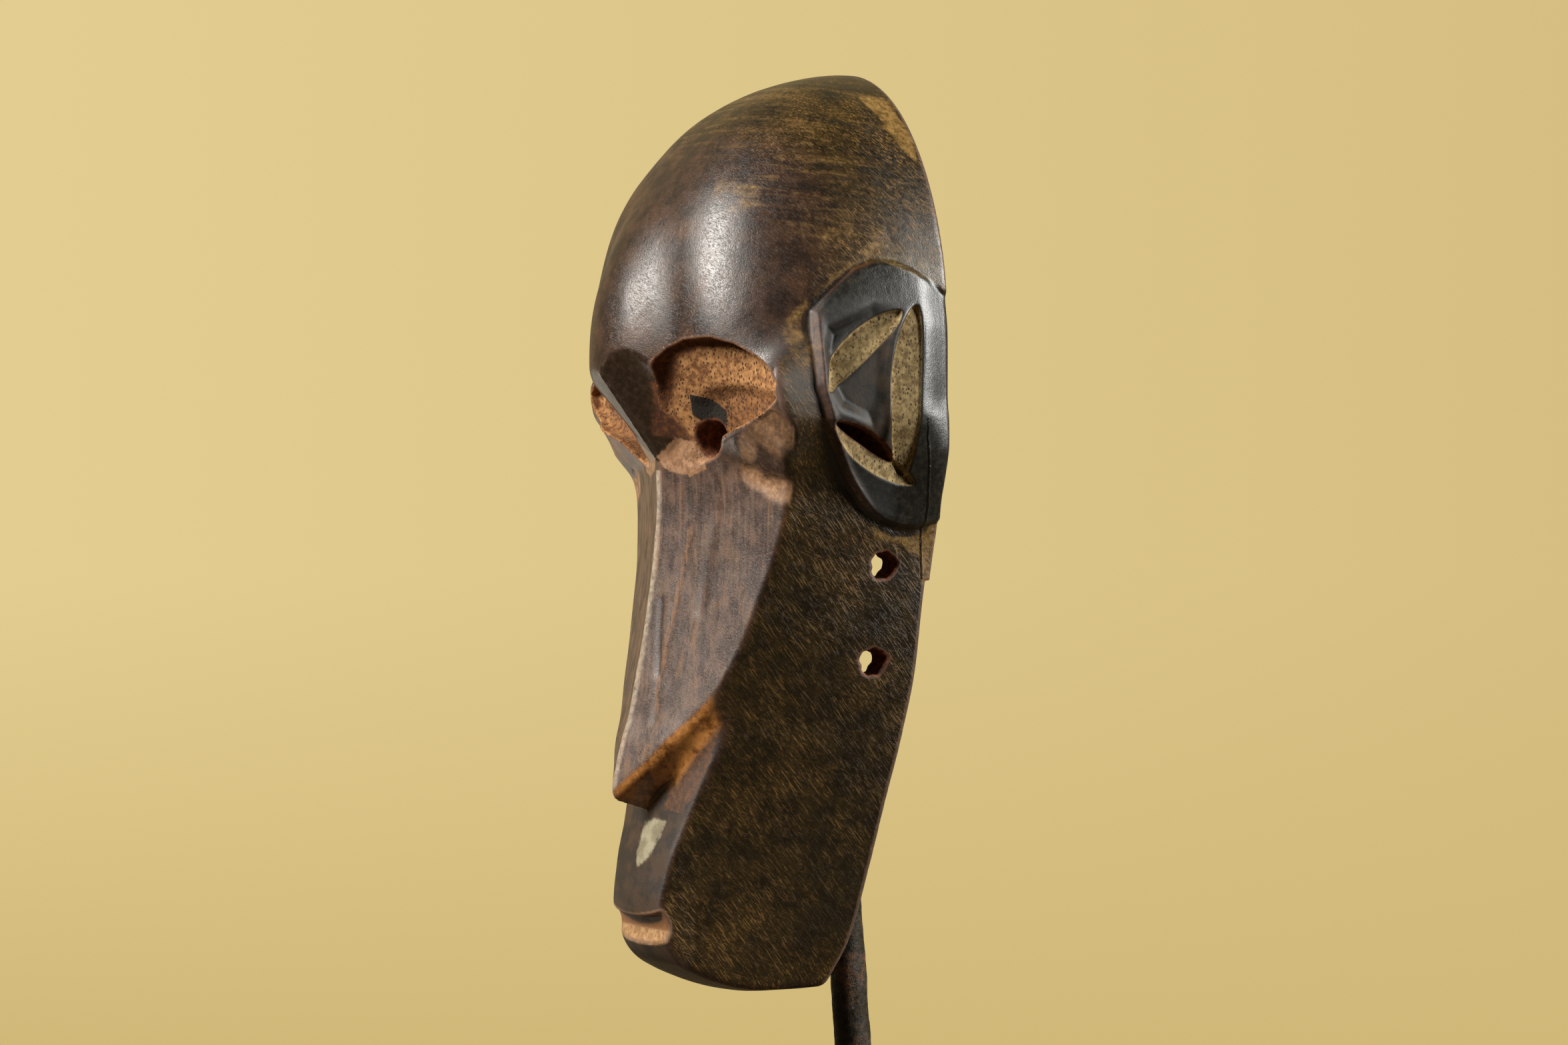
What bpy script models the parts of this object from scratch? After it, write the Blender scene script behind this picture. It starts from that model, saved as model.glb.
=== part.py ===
# Carved wooden face mask on a forged iron display stand.
# Frame: +Z up, the face looks along -Y, origin at the centre of the base's underside.
# The mask is one carved shell, hollow and open at the back. The stand is a block with a leaning
# iron rod, a cross bar under the crown of the mask and a short arm behind its muzzle.
# All sizes are in millimetres; add_object turns them into metres.
import math
import bpy
import bmesh
import numpy as np
from mathutils import Vector, Matrix

MM = 0.001

# ---------------------------------------------------------------- mask dimensions
MASK_OFFSET = (0.0, -8.0, 80.0)   # the mask's own origin (chin, middle) in the stand's frame
BACK_Y = 33.8              # plane of the back rim, in the mask's own frame
WALL_T = 8.5               # thickness of the side walls
HEAD_W, HEAD_D, HEAD_H = 55.0, 66.7, 76.2   # half width, depth and height of the cranium
HEAD_Z = 165.0             # level the cranium's dome springs from
CAVITY_W, CAVITY_D, CAVITY_H = HEAD_W - 9.0, 37.0, 64.0   # the same for the hollow inside it
PUPIL_X, PUPIL_Z = 20.0, 144.2
PUPIL_R = 2.7              # in units of the pupil's own stretched axes
EAR_SLOT_X = 46.5          # the slot's floor, measured from the midline
LASHING_HOLE_R = 3.3
LASHING_HOLE_X = 20.0      # the holes start this far from the midline
LASHING_HOLES = ((20.2, 111.8), (19.2, 87.2))   # (y, z) of the two holes in each side wall
LATTICE_LOW, LATTICE_HIGH = (-64, -46, -6), (64, 40, 248)
CARVE_STEP = 1.6           # spacing of the carving lattice
MASK_TRIANGLES = 7600

# ---------------------------------------------------------------- stand dimensions
GAP = 0.3                  # clearance between neighbouring pieces
BASE_X, BASE_Y, BASE_H = 110.0, 110.0, 24.0
BASE_CORNER, BASE_BEVEL = 6.0, 2.0
FELT_T, FELT_INSET, FELT_CORNER = 1.5, 4.0, 5.0
ROD_R = 5.0
ROD_BORE_R = ROD_R + 0.09
ROD_BORE_LEN = 60.0
ROD_LEAN = 0.078           # the rod leans forward by this much per unit of height
ROD_FOOT_Y = 32.8          # where its axis meets the base's underside
ROD_FLOOR = 6.0            # height of the rod's end above the block's underside
ROD_SEG = 48
ROD_SPANS = 8              # lengths between the rod's two end chamfers
FLANGE_R, FLANGE_T = 18.0, 3.0     # foot of the rod socket
NECK_R, NECK_H = 10.5, 15.0        # upright part of the rod socket
FIXING_SCREW_CIRCLE_R = 14.2
FIXING_SCREW_ANGLES = (90, 210, 330)
PILOT_R = 1.8
CLAMP_R = 2.0
CLAMP_LEVEL = 0.56         # share of the neck's height
BAR_R, BAR_HALF = 3.0, 20.0
BAR_Z = 207.3              # in the mask's own frame
ARM_R, ARM_Z = 2.5, 48.0   # level in the mask's own frame
ARM_TIP_Y = -5.0           # in the mask's own frame
ARM_ROD_GAP = GAP + 0.15
PAD_R, PAD_LEN = 4.6, 9.0
PAD_CLEARANCE = 0.25       # round the iron inside a pad
PAD_END_GAP = 0.4          # beyond the iron's end inside a pad
ARM_PAD_OVERLAP = 7.0      # how far the arm's pad reaches back over the arm

# ---------------------------------------------------------------- stations of the carved form
# z, half width at the back rim, the rim's y
RIM = [(-6, 16, 15.0), (1, 19, 16.6), (15, 25.5, 21.0), (33, 31, 23.6), (50, 35.5, 25.8),
       (67, 39.2, 28.6), (85, 42.5, 30.9), (103, 44.8, 31.8), (114, 46.0, 32.8),
       (124, 48.2, 33.4), (133, 51.2, 33.7), (142, 53.8, 33.8), (152, 55.0, 33.8),
       (175, 55.0, 33.8)]
# z, half width of the side wall level with the cheek (y = -CHEEK_DEPTH)
CHEEK_DEPTH = 15.0
CHEEK = [(-6, 13.5), (0, 14.5), (12, 16.8), (26, 18.4), (46, 21.2), (58, 23.8), (66, 25.9),
         (73, 27.0), (78, 28.4), (84, 30.2), (90, 32.0), (96, 33.5), (103, 35.0), (108, 36.3),
         (115, 38.3), (122, 40.2), (128.6, 41.4), (133, 43.2), (138, 46.6), (143, 50.4),
         (148, 54.6), (153, 56.2), (158, 55.4), (164, 52.4), (170, 49.6), (177, 48.0)]
# crown: share of the height above the temples, factor on the depth
CROWN = [(0, 1.0), (0.2, 1.001), (0.3, 1.005), (0.39, 1.015), (0.48, 1.026), (0.576, 1.035),
         (0.668, 1.038), (0.76, 1.047), (0.805, 1.054), (0.85, 1.062), (0.9, 1.068),
         (1.0, 1.078)]
# z, y of the nose ridge
RIDGE = [(44, -36.4), (52, -35.5), (58, -34.3), (66, -32.5), (72.5, -30.4), (80, -28.7),
         (90, -26.7), (102, -24.8), (115, -23.1), (128, -22.2), (140, -22.4), (160, -22.7)]
# z, fall-away of the nose slab's two facets
FACET_SLOPE = [(48, 0.365), (110, 0.365), (122, 0.355), (130, 0.345), (138, 0.305),
               (146, 0.215), (152, 0.142), (160, 0.115), (168, 0.16)]
# z, y of the muzzle's midline; the step at 20 is the lower lip
MUZZLE = [(10, -28.4), (19.5, -28.6), (22.5, -30.4), (26, -30.2), (34, -28.6), (46, -25.4),
          (62, -22.0), (72, -20.4), (82, -18.0), (110, -10.0), (140, -8.0)]
# outlines of the eye socket and of the deeper bowl round the pupil, (x, z)
EYE_SOCKET = [(1.6, 139.6), (7, 138.0), (14, 137.6), (18.5, 138.8), (21.6, 139.9),
              (26.0, 142.2), (29.8, 144.6), (36.7, 146.1), (42.2, 147.5), (47.3, 150.3),
              (52.6, 153.6), (53.4, 157.2), (51.4, 159.6), (46.7, 163.2), (40.5, 167.2),
              (34.8, 169.0), (26.4, 168.7), (20.8, 166.6), (17.6, 163.8), (14.4, 157.7),
              (10.2, 152.1), (6.4, 146.0), (3.1, 141.8)]
EYE_BOWL = [(18.5, 147.0), (19.6, 153.0), (25.0, 156.0), (32.0, 157.2), (39.0, 156.6),
            (46.0, 155.2), (50.6, 153.6), (46.0, 150.0), (36.0, 145.4), (28.0, 140.0),
            (21.0, 139.0)]
# z, y of the ear's front ridge
EAR_FRONT = [(124, 15.6), (128, 11.6), (133, 7.6), (140.5, 2.6), (148.5, -1.9), (157, -4.6),
             (166, -4.6), (175.4, -4.2)]
# outlines of the ear and of the dish in it, (y, z)
EAR = [(-4.2, 175.4), (-1.2, 178.6), (3.2, 182.6), (7.8, 186.4), (13.3, 188.6), (18.7, 188.4),
       (23.0, 187.0), (27.5, 184.6), (31.5, 182.0), (40.0, 177.0), (40.0, 124.0),
       (31.5, 122.4), (27.0, 121.0), (21.6, 121.6), (17.6, 123.0), (14.0, 125.4),
       (10.4, 129.4), (6.2, 134.9), (2.6, 140.5), (-1.9, 148.5), (-4.6, 157.0), (-4.6, 166.0)]
EAR_DISH = [(-1.4, 172.0), (11.0, 178.0), (19.0, 177.0), (15.6, 166.0), (15.0, 152.0),
            (11.0, 146.0), (1.0, 151.0), (-2.2, 157.0), (-2.8, 166.0)]
# ear grooves: (start, end, width, bow), even depth, added slant depth, side the slant deepens to
EAR_GROOVES = ((((19.0, 176.0), (-2.4, 155.2), 7.0, -1.3), 0.15, 2.0, -1),
               (((23.4, 177.6), (22.0, 134.6), 9.0, -3.0), 0.35, 1.9, -1),
               (((-0.3, 147.8), (25.0, 132.4), 6.2, -0.8), 0.30, 2.3, 1))
EAR_SLOT = ((1.0, 147.6), (18.4, 138.4), 3.0, 0.9)


# ---------------------------------------------------------------- tools for distance functions
# A form is a field over x, y, z that is negative inside. Steep fields are scaled by a factor
# below 1 to bring them nearer to a true distance. `off` is the distance from the midline, abs(x).
def curve(z, rows, column=1):
    """Smooth curve through a table's stations, monotone between them, straight past the ends."""
    stations = np.array([row[0] for row in rows], float)
    values = np.array([row[column] for row in rows], float)
    spans = np.diff(stations)
    slopes = np.diff(values) / spans
    tangents = np.zeros_like(values)
    tangents[0], tangents[-1] = slopes[0], slopes[-1]
    for i in range(1, len(values) - 1):
        if slopes[i - 1] * slopes[i] > 0:
            before = 2 * spans[i] + spans[i - 1]
            after = spans[i] + 2 * spans[i - 1]
            tangents[i] = (before + after) / (before / slopes[i - 1] + after / slopes[i])
    inner = np.clip(z, stations[0], stations[-1])
    i = np.clip(np.searchsorted(stations, inner, side="right") - 1, 0, len(stations) - 2)
    t = (inner - stations[i]) / spans[i]
    t2, t3 = t * t, t * t * t
    result = ((2 * t3 - 3 * t2 + 1) * values[i] + (t3 - 2 * t2 + t) * spans[i] * tangents[i]
              + (-2 * t3 + 3 * t2) * values[i + 1] + (t3 - t2) * spans[i] * tangents[i + 1])
    below = np.where(z < stations[0], (z - stations[0]) * tangents[0], 0)
    above = np.where(z > stations[-1], (z - stations[-1]) * tangents[-1], 0)
    return result + below + above


def smax(a, b, blend):
    """Intersection with a rounded edge."""
    share = np.clip(0.5 + 0.5 * (a - b) / blend, 0, 1)
    return b + (a - b) * share + blend * share * (1 - share)


def smin(a, b, blend):
    """Union with a rounded inner corner."""
    return -smax(-a, -b, blend)


def ramp(start, end, value):
    """Smooth step from 0 at start to 1 at end; start may be the larger."""
    t = np.clip((value - start) / (end - start), 0, 1)
    return t * t * (3 - 2 * t)


def bell(value, centre, width):
    return np.exp(-((value - centre) / width) ** 2)


def polygon(u, v, points):
    """Signed distance to a closed outline in a plane."""
    nearest, sign = np.inf, 1.0
    for start, end in zip(points, points[1:] + points[:1]):
        edge_u, edge_v = end[0] - start[0], end[1] - start[1]
        du, dv = u - start[0], v - start[1]
        t = np.clip((du * edge_u + dv * edge_v) / (edge_u * edge_u + edge_v * edge_v), 0, 1)
        nearest = np.minimum(nearest, (du - edge_u * t) ** 2 + (dv - edge_v * t) ** 2)
        rising = (v >= start[1]) & (v < end[1]) & (edge_u * dv > edge_v * du)
        falling = (v < start[1]) & (v >= end[1]) & (edge_u * dv < edge_v * du)
        sign = sign * np.where(rising | falling, -1.0, 1.0)
    return sign * np.sqrt(nearest)


def ellipsoid(x, y, z, centre, radii):
    dx, dy, dz = x - centre[0], y - centre[1], z - centre[2]
    rx, ry, rz = radii
    level = np.sqrt((dx / rx) ** 2 + (dy / ry) ** 2 + (dz / rz) ** 2)
    slope = np.sqrt((dx / rx ** 2) ** 2 + (dy / ry ** 2) ** 2 + (dz / rz ** 2) ** 2)
    return level * (level - 1.0) / np.maximum(slope, 1e-6)


def across(y, z, start, end, bow):
    """Place along a bowed line (0 to 1), signed distance to its side, and its length."""
    dy, dz = end[0] - start[0], end[1] - start[1]
    length = (dy * dy + dz * dz) ** 0.5
    t = ((y - start[0]) * dy + (z - start[1]) * dz) / (length * length)
    inner = np.clip(t, 0, 1)
    aside = ((y - start[0]) * (-dz) + (z - start[1]) * dy) / length
    return t, aside - bow * 4 * inner * (1 - inner), length


def leaf(y, z, start, end, width, bow):
    """Signed distance to an almond-shaped outline from start to end."""
    t, aside, length = across(y, z, start, end, bow)
    inner = np.clip(t, 0, 1)
    half = 0.5 * width * np.power(np.clip(4 * inner * (1 - inner), 0, 1), 0.62)
    over = np.maximum(np.maximum(-t, t - 1), 0) * length
    beside = np.abs(aside) - half
    return np.sqrt(np.maximum(beside, 0) ** 2 + over ** 2) + np.minimum(beside, 0)


# ---------------------------------------------------------------- parts of the carved form
def muzzle_face(off, z):
    """y of the muzzle's front, falling back to the sides."""
    return curve(z, MUZZLE) + (3.4 - 1.0 * ramp(26.0, 38.0, z)) * (off / 18.0) ** 2


def side_wall(y, z):
    """Half width of the mask, from the cheek to the back rim, bulging a little below the ear."""
    cheek, rim, rim_y = curve(z, CHEEK), curve(z, RIM), curve(z, RIM, 2)
    t = (y + CHEEK_DEPTH) / (rim_y + CHEEK_DEPTH)
    bulge = 1.2 * np.clip(4 * t * (1 - t), -0.5, 1) * ramp(140.0, 118.0, z)
    return cheek + (rim - cheek) * t + bulge


def cranium(off, y, z, power, width, depth, height, boxy=0.0):
    """Half of a super-ellipsoid on the back plane; boxy squares and flattens its temples."""
    forward = np.clip(BACK_Y - y, 0, None)
    power = power + boxy * ramp(198.0, 166.0, z)
    depth = depth - 5.3 * boxy * ramp(198.0, 166.0, z)
    rise = np.clip((z - HEAD_Z) / height, 0, None)
    depth = depth * curve(np.clip(rise, 0, 1.0), CROWN)
    plan = (np.power(off / width, power) + np.power(forward / depth, power)) ** (1 / power)
    level = np.sqrt(plan * plan + rise * rise)
    reach = np.sqrt(off ** 2 + forward ** 2 + (height * rise) ** 2) + 1e-3
    return (level - 1.0) * reach / np.maximum(level, 1e-3) * 0.95


def ear_relief(y, z):
    """How far the ear stands out of the side of the head."""
    inside = ramp(1.1, -1.6, polygon(y, z, EAR))
    relief = inside * (1.5 + 0.5 * ramp(150.0, 128.0, z) - 0.5 * ramp(172.0, 186.0, z))
    # dish, deepest at the front
    dish = ramp(1.0, -4.0, polygon(y, z, EAR_DISH))
    relief = relief - 3.4 * dish * np.clip((18.5 - y) / 19.0, 0, 1)
    # raised ridges along the front edge and behind the dish
    front = curve(z, EAR_FRONT) + 0.9
    relief = relief + (0.7 * bell(y, front, 1.2)
                       * ramp(124.0, 132.0, z) * ramp(177.0, 172.0, z))
    behind = 15.2 + 0.018 * (160.0 - z) ** 2 * (z > 160)
    relief = relief + (0.7 * bell(y, behind, 1.2)
                       * ramp(138.0, 144.0, z) * ramp(177.0, 173.0, z))
    # the ear sinks towards the back rim, more in its upper part
    relief = relief - inside * (2.4 * ramp(24.0, 36.0, y) * ramp(140.0, 155.0, z)
                                + 0.8 * ramp(29.0, 36.0, y) * ramp(155.0, 140.0, z))
    for (start, end, width, bow), even, slant, side in EAR_GROOVES:
        groove = ramp(0.5, -1.4, leaf(y, z, start, end, width, bow))
        aside = across(y, z, start, end, bow)[1] / width
        relief = relief - groove * (even + slant * np.clip(0.5 + side * aside, 0, 1))
    return relief


def eye_socket(off, y, z):
    """A scooped floor with a deeper bowl round the pupil, under a steep wall along the brow."""
    floor = (-25.6 + 0.62 * (off - 16.5) - 0.0075 * (off - 16.5) ** 2
             - 0.5 * (z - 158.0) * ramp(46.0, 18.0, off))
    floor = floor + 1.9 * ramp(1.4, -2.6, polygon(off, z, EYE_BOWL))
    return smax(polygon(off, z, EYE_SOCKET), (y - floor) * 0.95, 2.0)


def brow_facet(x, z):
    """y of the two cuts from the brow's edge back to the root of the nose; flat on the -X side."""
    off = np.abs(x)
    bent = smax(smin(0.52 * off, 6.2 + 0.05 * off, 2.0),
                0.16 * off + 0.004 * np.clip(off - 14, 0, None) ** 2, 1.0)
    lift = 0.9 * ramp(2.0, 9.0, off) * ramp(24.0, 14.0, off)
    return -39.6 + (161.9 - z) * 0.745 + np.where(x > 0, bent + lift, 0.26 * off)


def nose_slab(off, y, z):
    """Nose and cheek slab: two facets on a midline ridge, with an arrow-shaped foot."""
    ridge = curve(z, RIDGE)
    rounded = np.sqrt(off ** 2 + 0.25) - 0.3
    slab = (ridge + curve(z, FACET_SLOPE) * rounded - y) * 0.92
    undercut = 0.30 + 0.45 * ramp(5.0, 16.0, off)
    behind_ridge = y - ridge - 0.365 * off * ramp(5.0, 16.0, off)
    foot = (51.6 + off * 0.97 - undercut * behind_ridge - z) * 0.62
    slab = smax(slab, foot, 2.3)
    return smax(slab, (z - 168.0) * 0.7, 6.0)


def mouth_scoop(off, y, z):
    """The hollowed lower lip, tucked under the edge of the upper one."""
    bowl = ellipsoid(off, y - 0.0125 * off ** 2, z, (0.0, -37.6, 18.4), (25.0, 11.2, 9.2))
    return smax(bowl, z - (21.2 + 0.010 * off ** 2), 0.6)


def lower_face(off, y, z, wall):
    """Muzzle and nose slab, trimmed by the side walls."""
    underside = (0.0135 * np.clip(2.0 - y, 0, None) ** 2 + 0.0045 * off ** 2
                 + 0.004 * np.clip(y - 8, 0, None) ** 2 + 0.6 - z) * 0.92
    muzzle = smax((muzzle_face(off, z) - y) * 0.97, underside, 6.0)
    blend = 0.9 + 3.0 * ramp(7.0, 18.0, off) * ramp(84.0, 76.0, z)
    face = smin(muzzle, nose_slab(off, y, z), blend)
    face = smax(face, (z - 172.0) * 0.5, 10.0)
    return smax(face, wall - 9.0 * ramp(152.0, 140.0, z), 1.8)


def upper_head(x, y, z, relief):
    """Cranium with a swollen forehead, cut back under the brow."""
    off = np.abs(x)
    head = cranium(off, y, z, power=2.62, width=HEAD_W, depth=HEAD_D, height=HEAD_H,
                   boxy=0.55) - relief
    forehead = ellipsoid(off, y, z, (0, -9.0, 166.0), (26.0, 30.3, 44.0))
    head = smin(head, forehead, 5.0)
    head = smax(head, (brow_facet(x, z) - y) * 0.8, 0.7)
    return np.maximum(head, 128.0 - z)


def outside(x, y, z):
    """The mask's outer form, solid up to the back rim."""
    off = np.abs(x)
    relief = ear_relief(y, z) * ramp(30.0, 40.0, off)
    wall = (off - side_wall(y, z)) * 0.95 - relief
    straight_wall = (off - side_wall(y, np.minimum(z, 153.0))) * 0.95 - relief
    blend = 5.0 * ramp(10.0, 24.0, off) * ramp(140.0, 150.0, z) + 0.8
    form = smin(lower_face(off, y, z, wall), upper_head(x, y, z, relief), blend)
    form = smax(form, straight_wall, 1.6 + 1.6 * ramp(144.0, 156.0, z))
    form = smax(form, -eye_socket(off, y, z), 1.2)
    form = smax(form, -mouth_scoop(off, y, z), 0.9)
    return smax(form, y - curve(z, RIM, 2), 1.6)


def hollow(x, y, z):
    """The cavity, open at the back: one part behind the face, one inside the cranium."""
    off = np.abs(x)
    low = smax((off - (side_wall(y, z) - WALL_T)) * 0.95,
               muzzle_face(off * 0.8, z) + 11.5 - y, 9.0)
    low = smax(low, 10.0 + 0.02 * off ** 2 - z, 8.0)
    low = np.maximum(low, z - 165.0)
    high = cranium(off, y, z, power=2.6, width=CAVITY_W, depth=CAVITY_D, height=CAVITY_H)
    high = smax(high, (off - (side_wall(y, np.minimum(z, 175.0)) - WALL_T)) * 0.95, 6.0)
    high = np.maximum(high, 140.0 - z)
    return smin(low, high, 10.0)


def mask_form(x, y, z):
    """The whole shell with its pierced pupils, blind ear slots and lashing holes."""
    form = smax(outside(x, y, z), -hollow(x, y, z), 1.5)
    off = np.abs(x)
    rise = z - PUPIL_Z
    pupil = np.sqrt(((off - PUPIL_X - 0.5 * rise) / (1.35 + 0.06 * rise)) ** 2
                    + (rise / 1.6) ** 2) - PUPIL_R
    form = smax(form, -pupil, 0.6)
    form = smax(form, -np.maximum(leaf(y, z, *EAR_SLOT), EAR_SLOT_X - off), 0.5)
    for hole_y, hole_z in LASHING_HOLES:
        round_hole = np.sqrt((y - hole_y) ** 2 + (z - hole_z) ** 2) - LASHING_HOLE_R
        form = smax(form, -np.maximum(round_hole, LASHING_HOLE_X - off), 0.8)
    return form


# ---------------------------------------------------------------- from form to mesh
# the six tetrahedra of a lattice cell, as orders of stepping along the axes
TETRA_PATHS = ((0, 1, 2), (1, 2, 0), (2, 0, 1), (0, 2, 1), (2, 1, 0), (1, 0, 2))
# corners inside -> triangles, each corner of which is a cut edge (inside, outside)
TETRA_CUTS = ((1, (((0, 1), (0, 2), (0, 3)),)),
              (3, (((0, 3), (1, 3), (2, 3)),)),
              (2, (((0, 2), (0, 3), (1, 3)), ((0, 2), (1, 3), (1, 2)))))
MIN_LEVEL = 0.06   # lattice values are kept this far from zero, which avoids sliver triangles


def zero_surface(form, low, high, step):
    """Closed triangle mesh of a form's zero level, by cutting the lattice's tetrahedra."""
    axes = [np.arange(low[i], high[i] + step, step) for i in range(3)]
    shape = tuple(len(axis) for axis in axes)
    field = form(axes[0][:, None, None], axes[1][None, :, None], axes[2][None, None, :])
    level = np.broadcast_to(field, shape).copy().ravel()
    level[(level >= 0) & (level < MIN_LEVEL)] = MIN_LEVEL
    level[(level < 0) & (level > -MIN_LEVEL)] = -MIN_LEVEL
    points = np.stack(np.meshgrid(*axes, indexing="ij"), -1).reshape(-1, 3)
    ids = np.arange(level.size).reshape(shape)

    def cell_corners(corner):
        return ids[tuple(slice(c, c + size - 1) for c, size in zip(corner, shape))].ravel()

    cut_edges = []
    for path in TETRA_PATHS:
        corner = [0, 0, 0]
        columns = [cell_corners(corner)]
        for axis in path:
            corner[axis] = 1
            columns.append(cell_corners(corner))
        tetra = np.stack(columns, 1)
        inside = level[tetra] < 0
        count = inside.sum(1)
        crossed = (count > 0) & (count < 4)
        tetra, inside, count = tetra[crossed], inside[crossed], count[crossed]
        order = np.argsort(~inside, axis=1, kind="stable")      # inside corners first
        tetra = np.take_along_axis(tetra, order, 1)
        for inside_count, triangles in TETRA_CUTS:
            group = tetra[count == inside_count]
            for triangle in triangles:
                edges = [np.stack([group[:, i], group[:, j]], 1) for i, j in triangle]
                cut_edges.append(np.stack(edges, 1))
    edges = np.concatenate(cut_edges)               # triangles x 3 x (inside, outside)
    keys = edges[..., 0].astype(np.int64) * level.size + edges[..., 1]
    unique_keys, inverse = np.unique(keys, return_inverse=True)
    a, b = unique_keys // level.size, unique_keys % level.size
    t = (level[a] / (level[a] - level[b]))[:, None]
    verts = points[a] + (points[b] - points[a]) * t
    faces = inverse.reshape(-1, 3)
    outward = (points[edges[..., 1]] - points[edges[..., 0]]).sum(1)
    normal = np.cross(verts[faces[:, 1]] - verts[faces[:, 0]],
                      verts[faces[:, 2]] - verts[faces[:, 0]])
    flip = (normal * outward).sum(1) < 0
    faces[flip] = faces[flip][:, ::-1]
    return verts, faces


def settle(form, points, rounds=2):
    """Slide points along the form's gradient towards its zero level."""
    points = points.copy()
    probe = 0.05
    damping, max_ratio, min_steepness = 0.7, 0.35, 0.25

    def level_at(axis, shift):
        return form(*(points[:, i] + shift * (i == axis) for i in range(3)))

    for _ in range(rounds):
        level = form(*points.T)
        gradient = np.stack([(level_at(axis, probe) - level_at(axis, -probe)) / (2 * probe)
                             for axis in range(3)], 1)
        steepness = np.maximum((gradient * gradient).sum(1), min_steepness)
        ratio = np.clip(level / steepness, -max_ratio, max_ratio)
        points -= damping * ratio[:, None] * gradient
    return points


# ---------------------------------------------------------------- mesh helpers
def add_object(name, bm, mat, origin=(0, 0, 0)):
    """Turn a bmesh in millimetres into an object in metres with its origin at a given point."""
    for v in bm.verts:
        v.co = (v.co - Vector(origin)) * MM
    bmesh.ops.recalc_face_normals(bm, faces=bm.faces)
    mesh = bpy.data.meshes.new(name)
    bm.to_mesh(mesh)
    bm.free()
    mesh.materials.append(mat)
    obj = bpy.data.objects.new(name, mesh)
    obj.location = Vector(origin) * MM
    bpy.context.scene.collection.objects.link(obj)
    return obj


def bake_modifiers(obj):
    """Replace an object's mesh by its evaluated one and drop its modifiers."""
    bpy.context.view_layer.update()
    evaluated = obj.evaluated_get(bpy.context.evaluated_depsgraph_get())
    mesh = bpy.data.meshes.new_from_object(evaluated)
    obj.modifiers.clear()
    old = obj.data
    obj.data = mesh
    bpy.data.meshes.remove(old)
    mesh.name = obj.name


def cut_out(target, cutters):
    """Subtract closed bmeshes from an object, one after another."""
    for bm in cutters:
        cutter = add_object(target.name + "_cutter", bm, STEEL)
        cutter.hide_render = True
        mod = target.modifiers.new("cut", "BOOLEAN")
        mod.operation = "DIFFERENCE"
        mod.solver = "EXACT"
        mod.object = cutter
        bake_modifiers(target)
        bpy.data.objects.remove(cutter)


def join_rings(bm, lower, upper):
    """Faces between two rings of vertices; either may be a single point."""
    count = max(len(lower), len(upper))
    for i in range(count):
        j = (i + 1) % count
        if len(lower) == 1:
            bm.faces.new((lower[0], upper[j], upper[i]))
        elif len(upper) == 1:
            bm.faces.new((lower[i], lower[j], upper[0]))
        else:
            bm.faces.new((lower[i], lower[j], upper[j], upper[i]))


def close_stack(bm, rings):
    """Join a stack of rings and cap its open ends."""
    for lower, upper in zip(rings, rings[1:]):
        join_rings(bm, lower, upper)
    if len(rings[0]) > 1:
        bm.faces.new(rings[0][::-1])
    if len(rings[-1]) > 1:
        bm.faces.new(rings[-1])
    return bm


def lathe(profile, seg, centre, axis):
    """Solid of revolution from (radius, height) pairs along axis; radius 0 closes an end."""
    bm = bmesh.new()
    place = Matrix.Translation(centre) @ Vector(axis).to_track_quat("Z", "Y").to_matrix().to_4x4()
    rings = []
    for r, h in profile:
        if r == 0:
            rings.append([bm.verts.new(place @ Vector((0, 0, h)))])
            continue
        angles = [2 * math.pi * i / seg for i in range(seg)]
        rings.append([bm.verts.new(place @ Vector((r * math.cos(a), r * math.sin(a), h)))
                      for a in angles])
    return close_stack(bm, rings)


def cylinder(radius, length, seg, centre, axis):
    return lathe([(radius, 0.0), (radius, length)], seg, centre, axis)


def rounded_block(x, y, z0, z1, corner, bevel=0.0, corner_seg=6, bevel_seg=3):
    """Upright block with rounded corners and, if bevelled, softened top and bottom edges."""
    bm = bmesh.new()

    def ring(inset, z):
        r = max(corner - inset, 0.6)
        verts = []
        for cx, cy, start in ((1, 1, 0), (-1, 1, 90), (-1, -1, 180), (1, -1, 270)):
            for i in range(corner_seg + 1):
                a = math.radians(start + 90 * i / corner_seg)
                verts.append(bm.verts.new((cx * (x / 2 - inset - r) + r * math.cos(a),
                                           cy * (y / 2 - inset - r) + r * math.sin(a), z)))
        return verts

    if bevel > 0:
        turns = [math.radians(90 * i / bevel_seg) for i in range(bevel_seg + 1)]
        rings = [ring(bevel * (1 - math.sin(a)), z0 + bevel * (1 - math.cos(a))) for a in turns]
        rings += [ring(bevel * (1 - math.cos(a)), z1 - bevel * (1 - math.sin(a))) for a in turns]
    else:
        rings = [ring(0, z0), ring(0, z1)]
    return close_stack(bm, rings)


# ---------------------------------------------------------------- places shared by the stand
ROD_AXIS = Vector((0.0, -ROD_LEAN, 1.0)).normalized()
ROD_ORIGIN = Vector((0.0, ROD_FOOT_Y, 0.0))


def on_axis(z):
    """Point of the rod's axis at a height above the base's underside."""
    return ROD_ORIGIN + ROD_AXIS * (z / ROD_AXIS.z)


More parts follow.
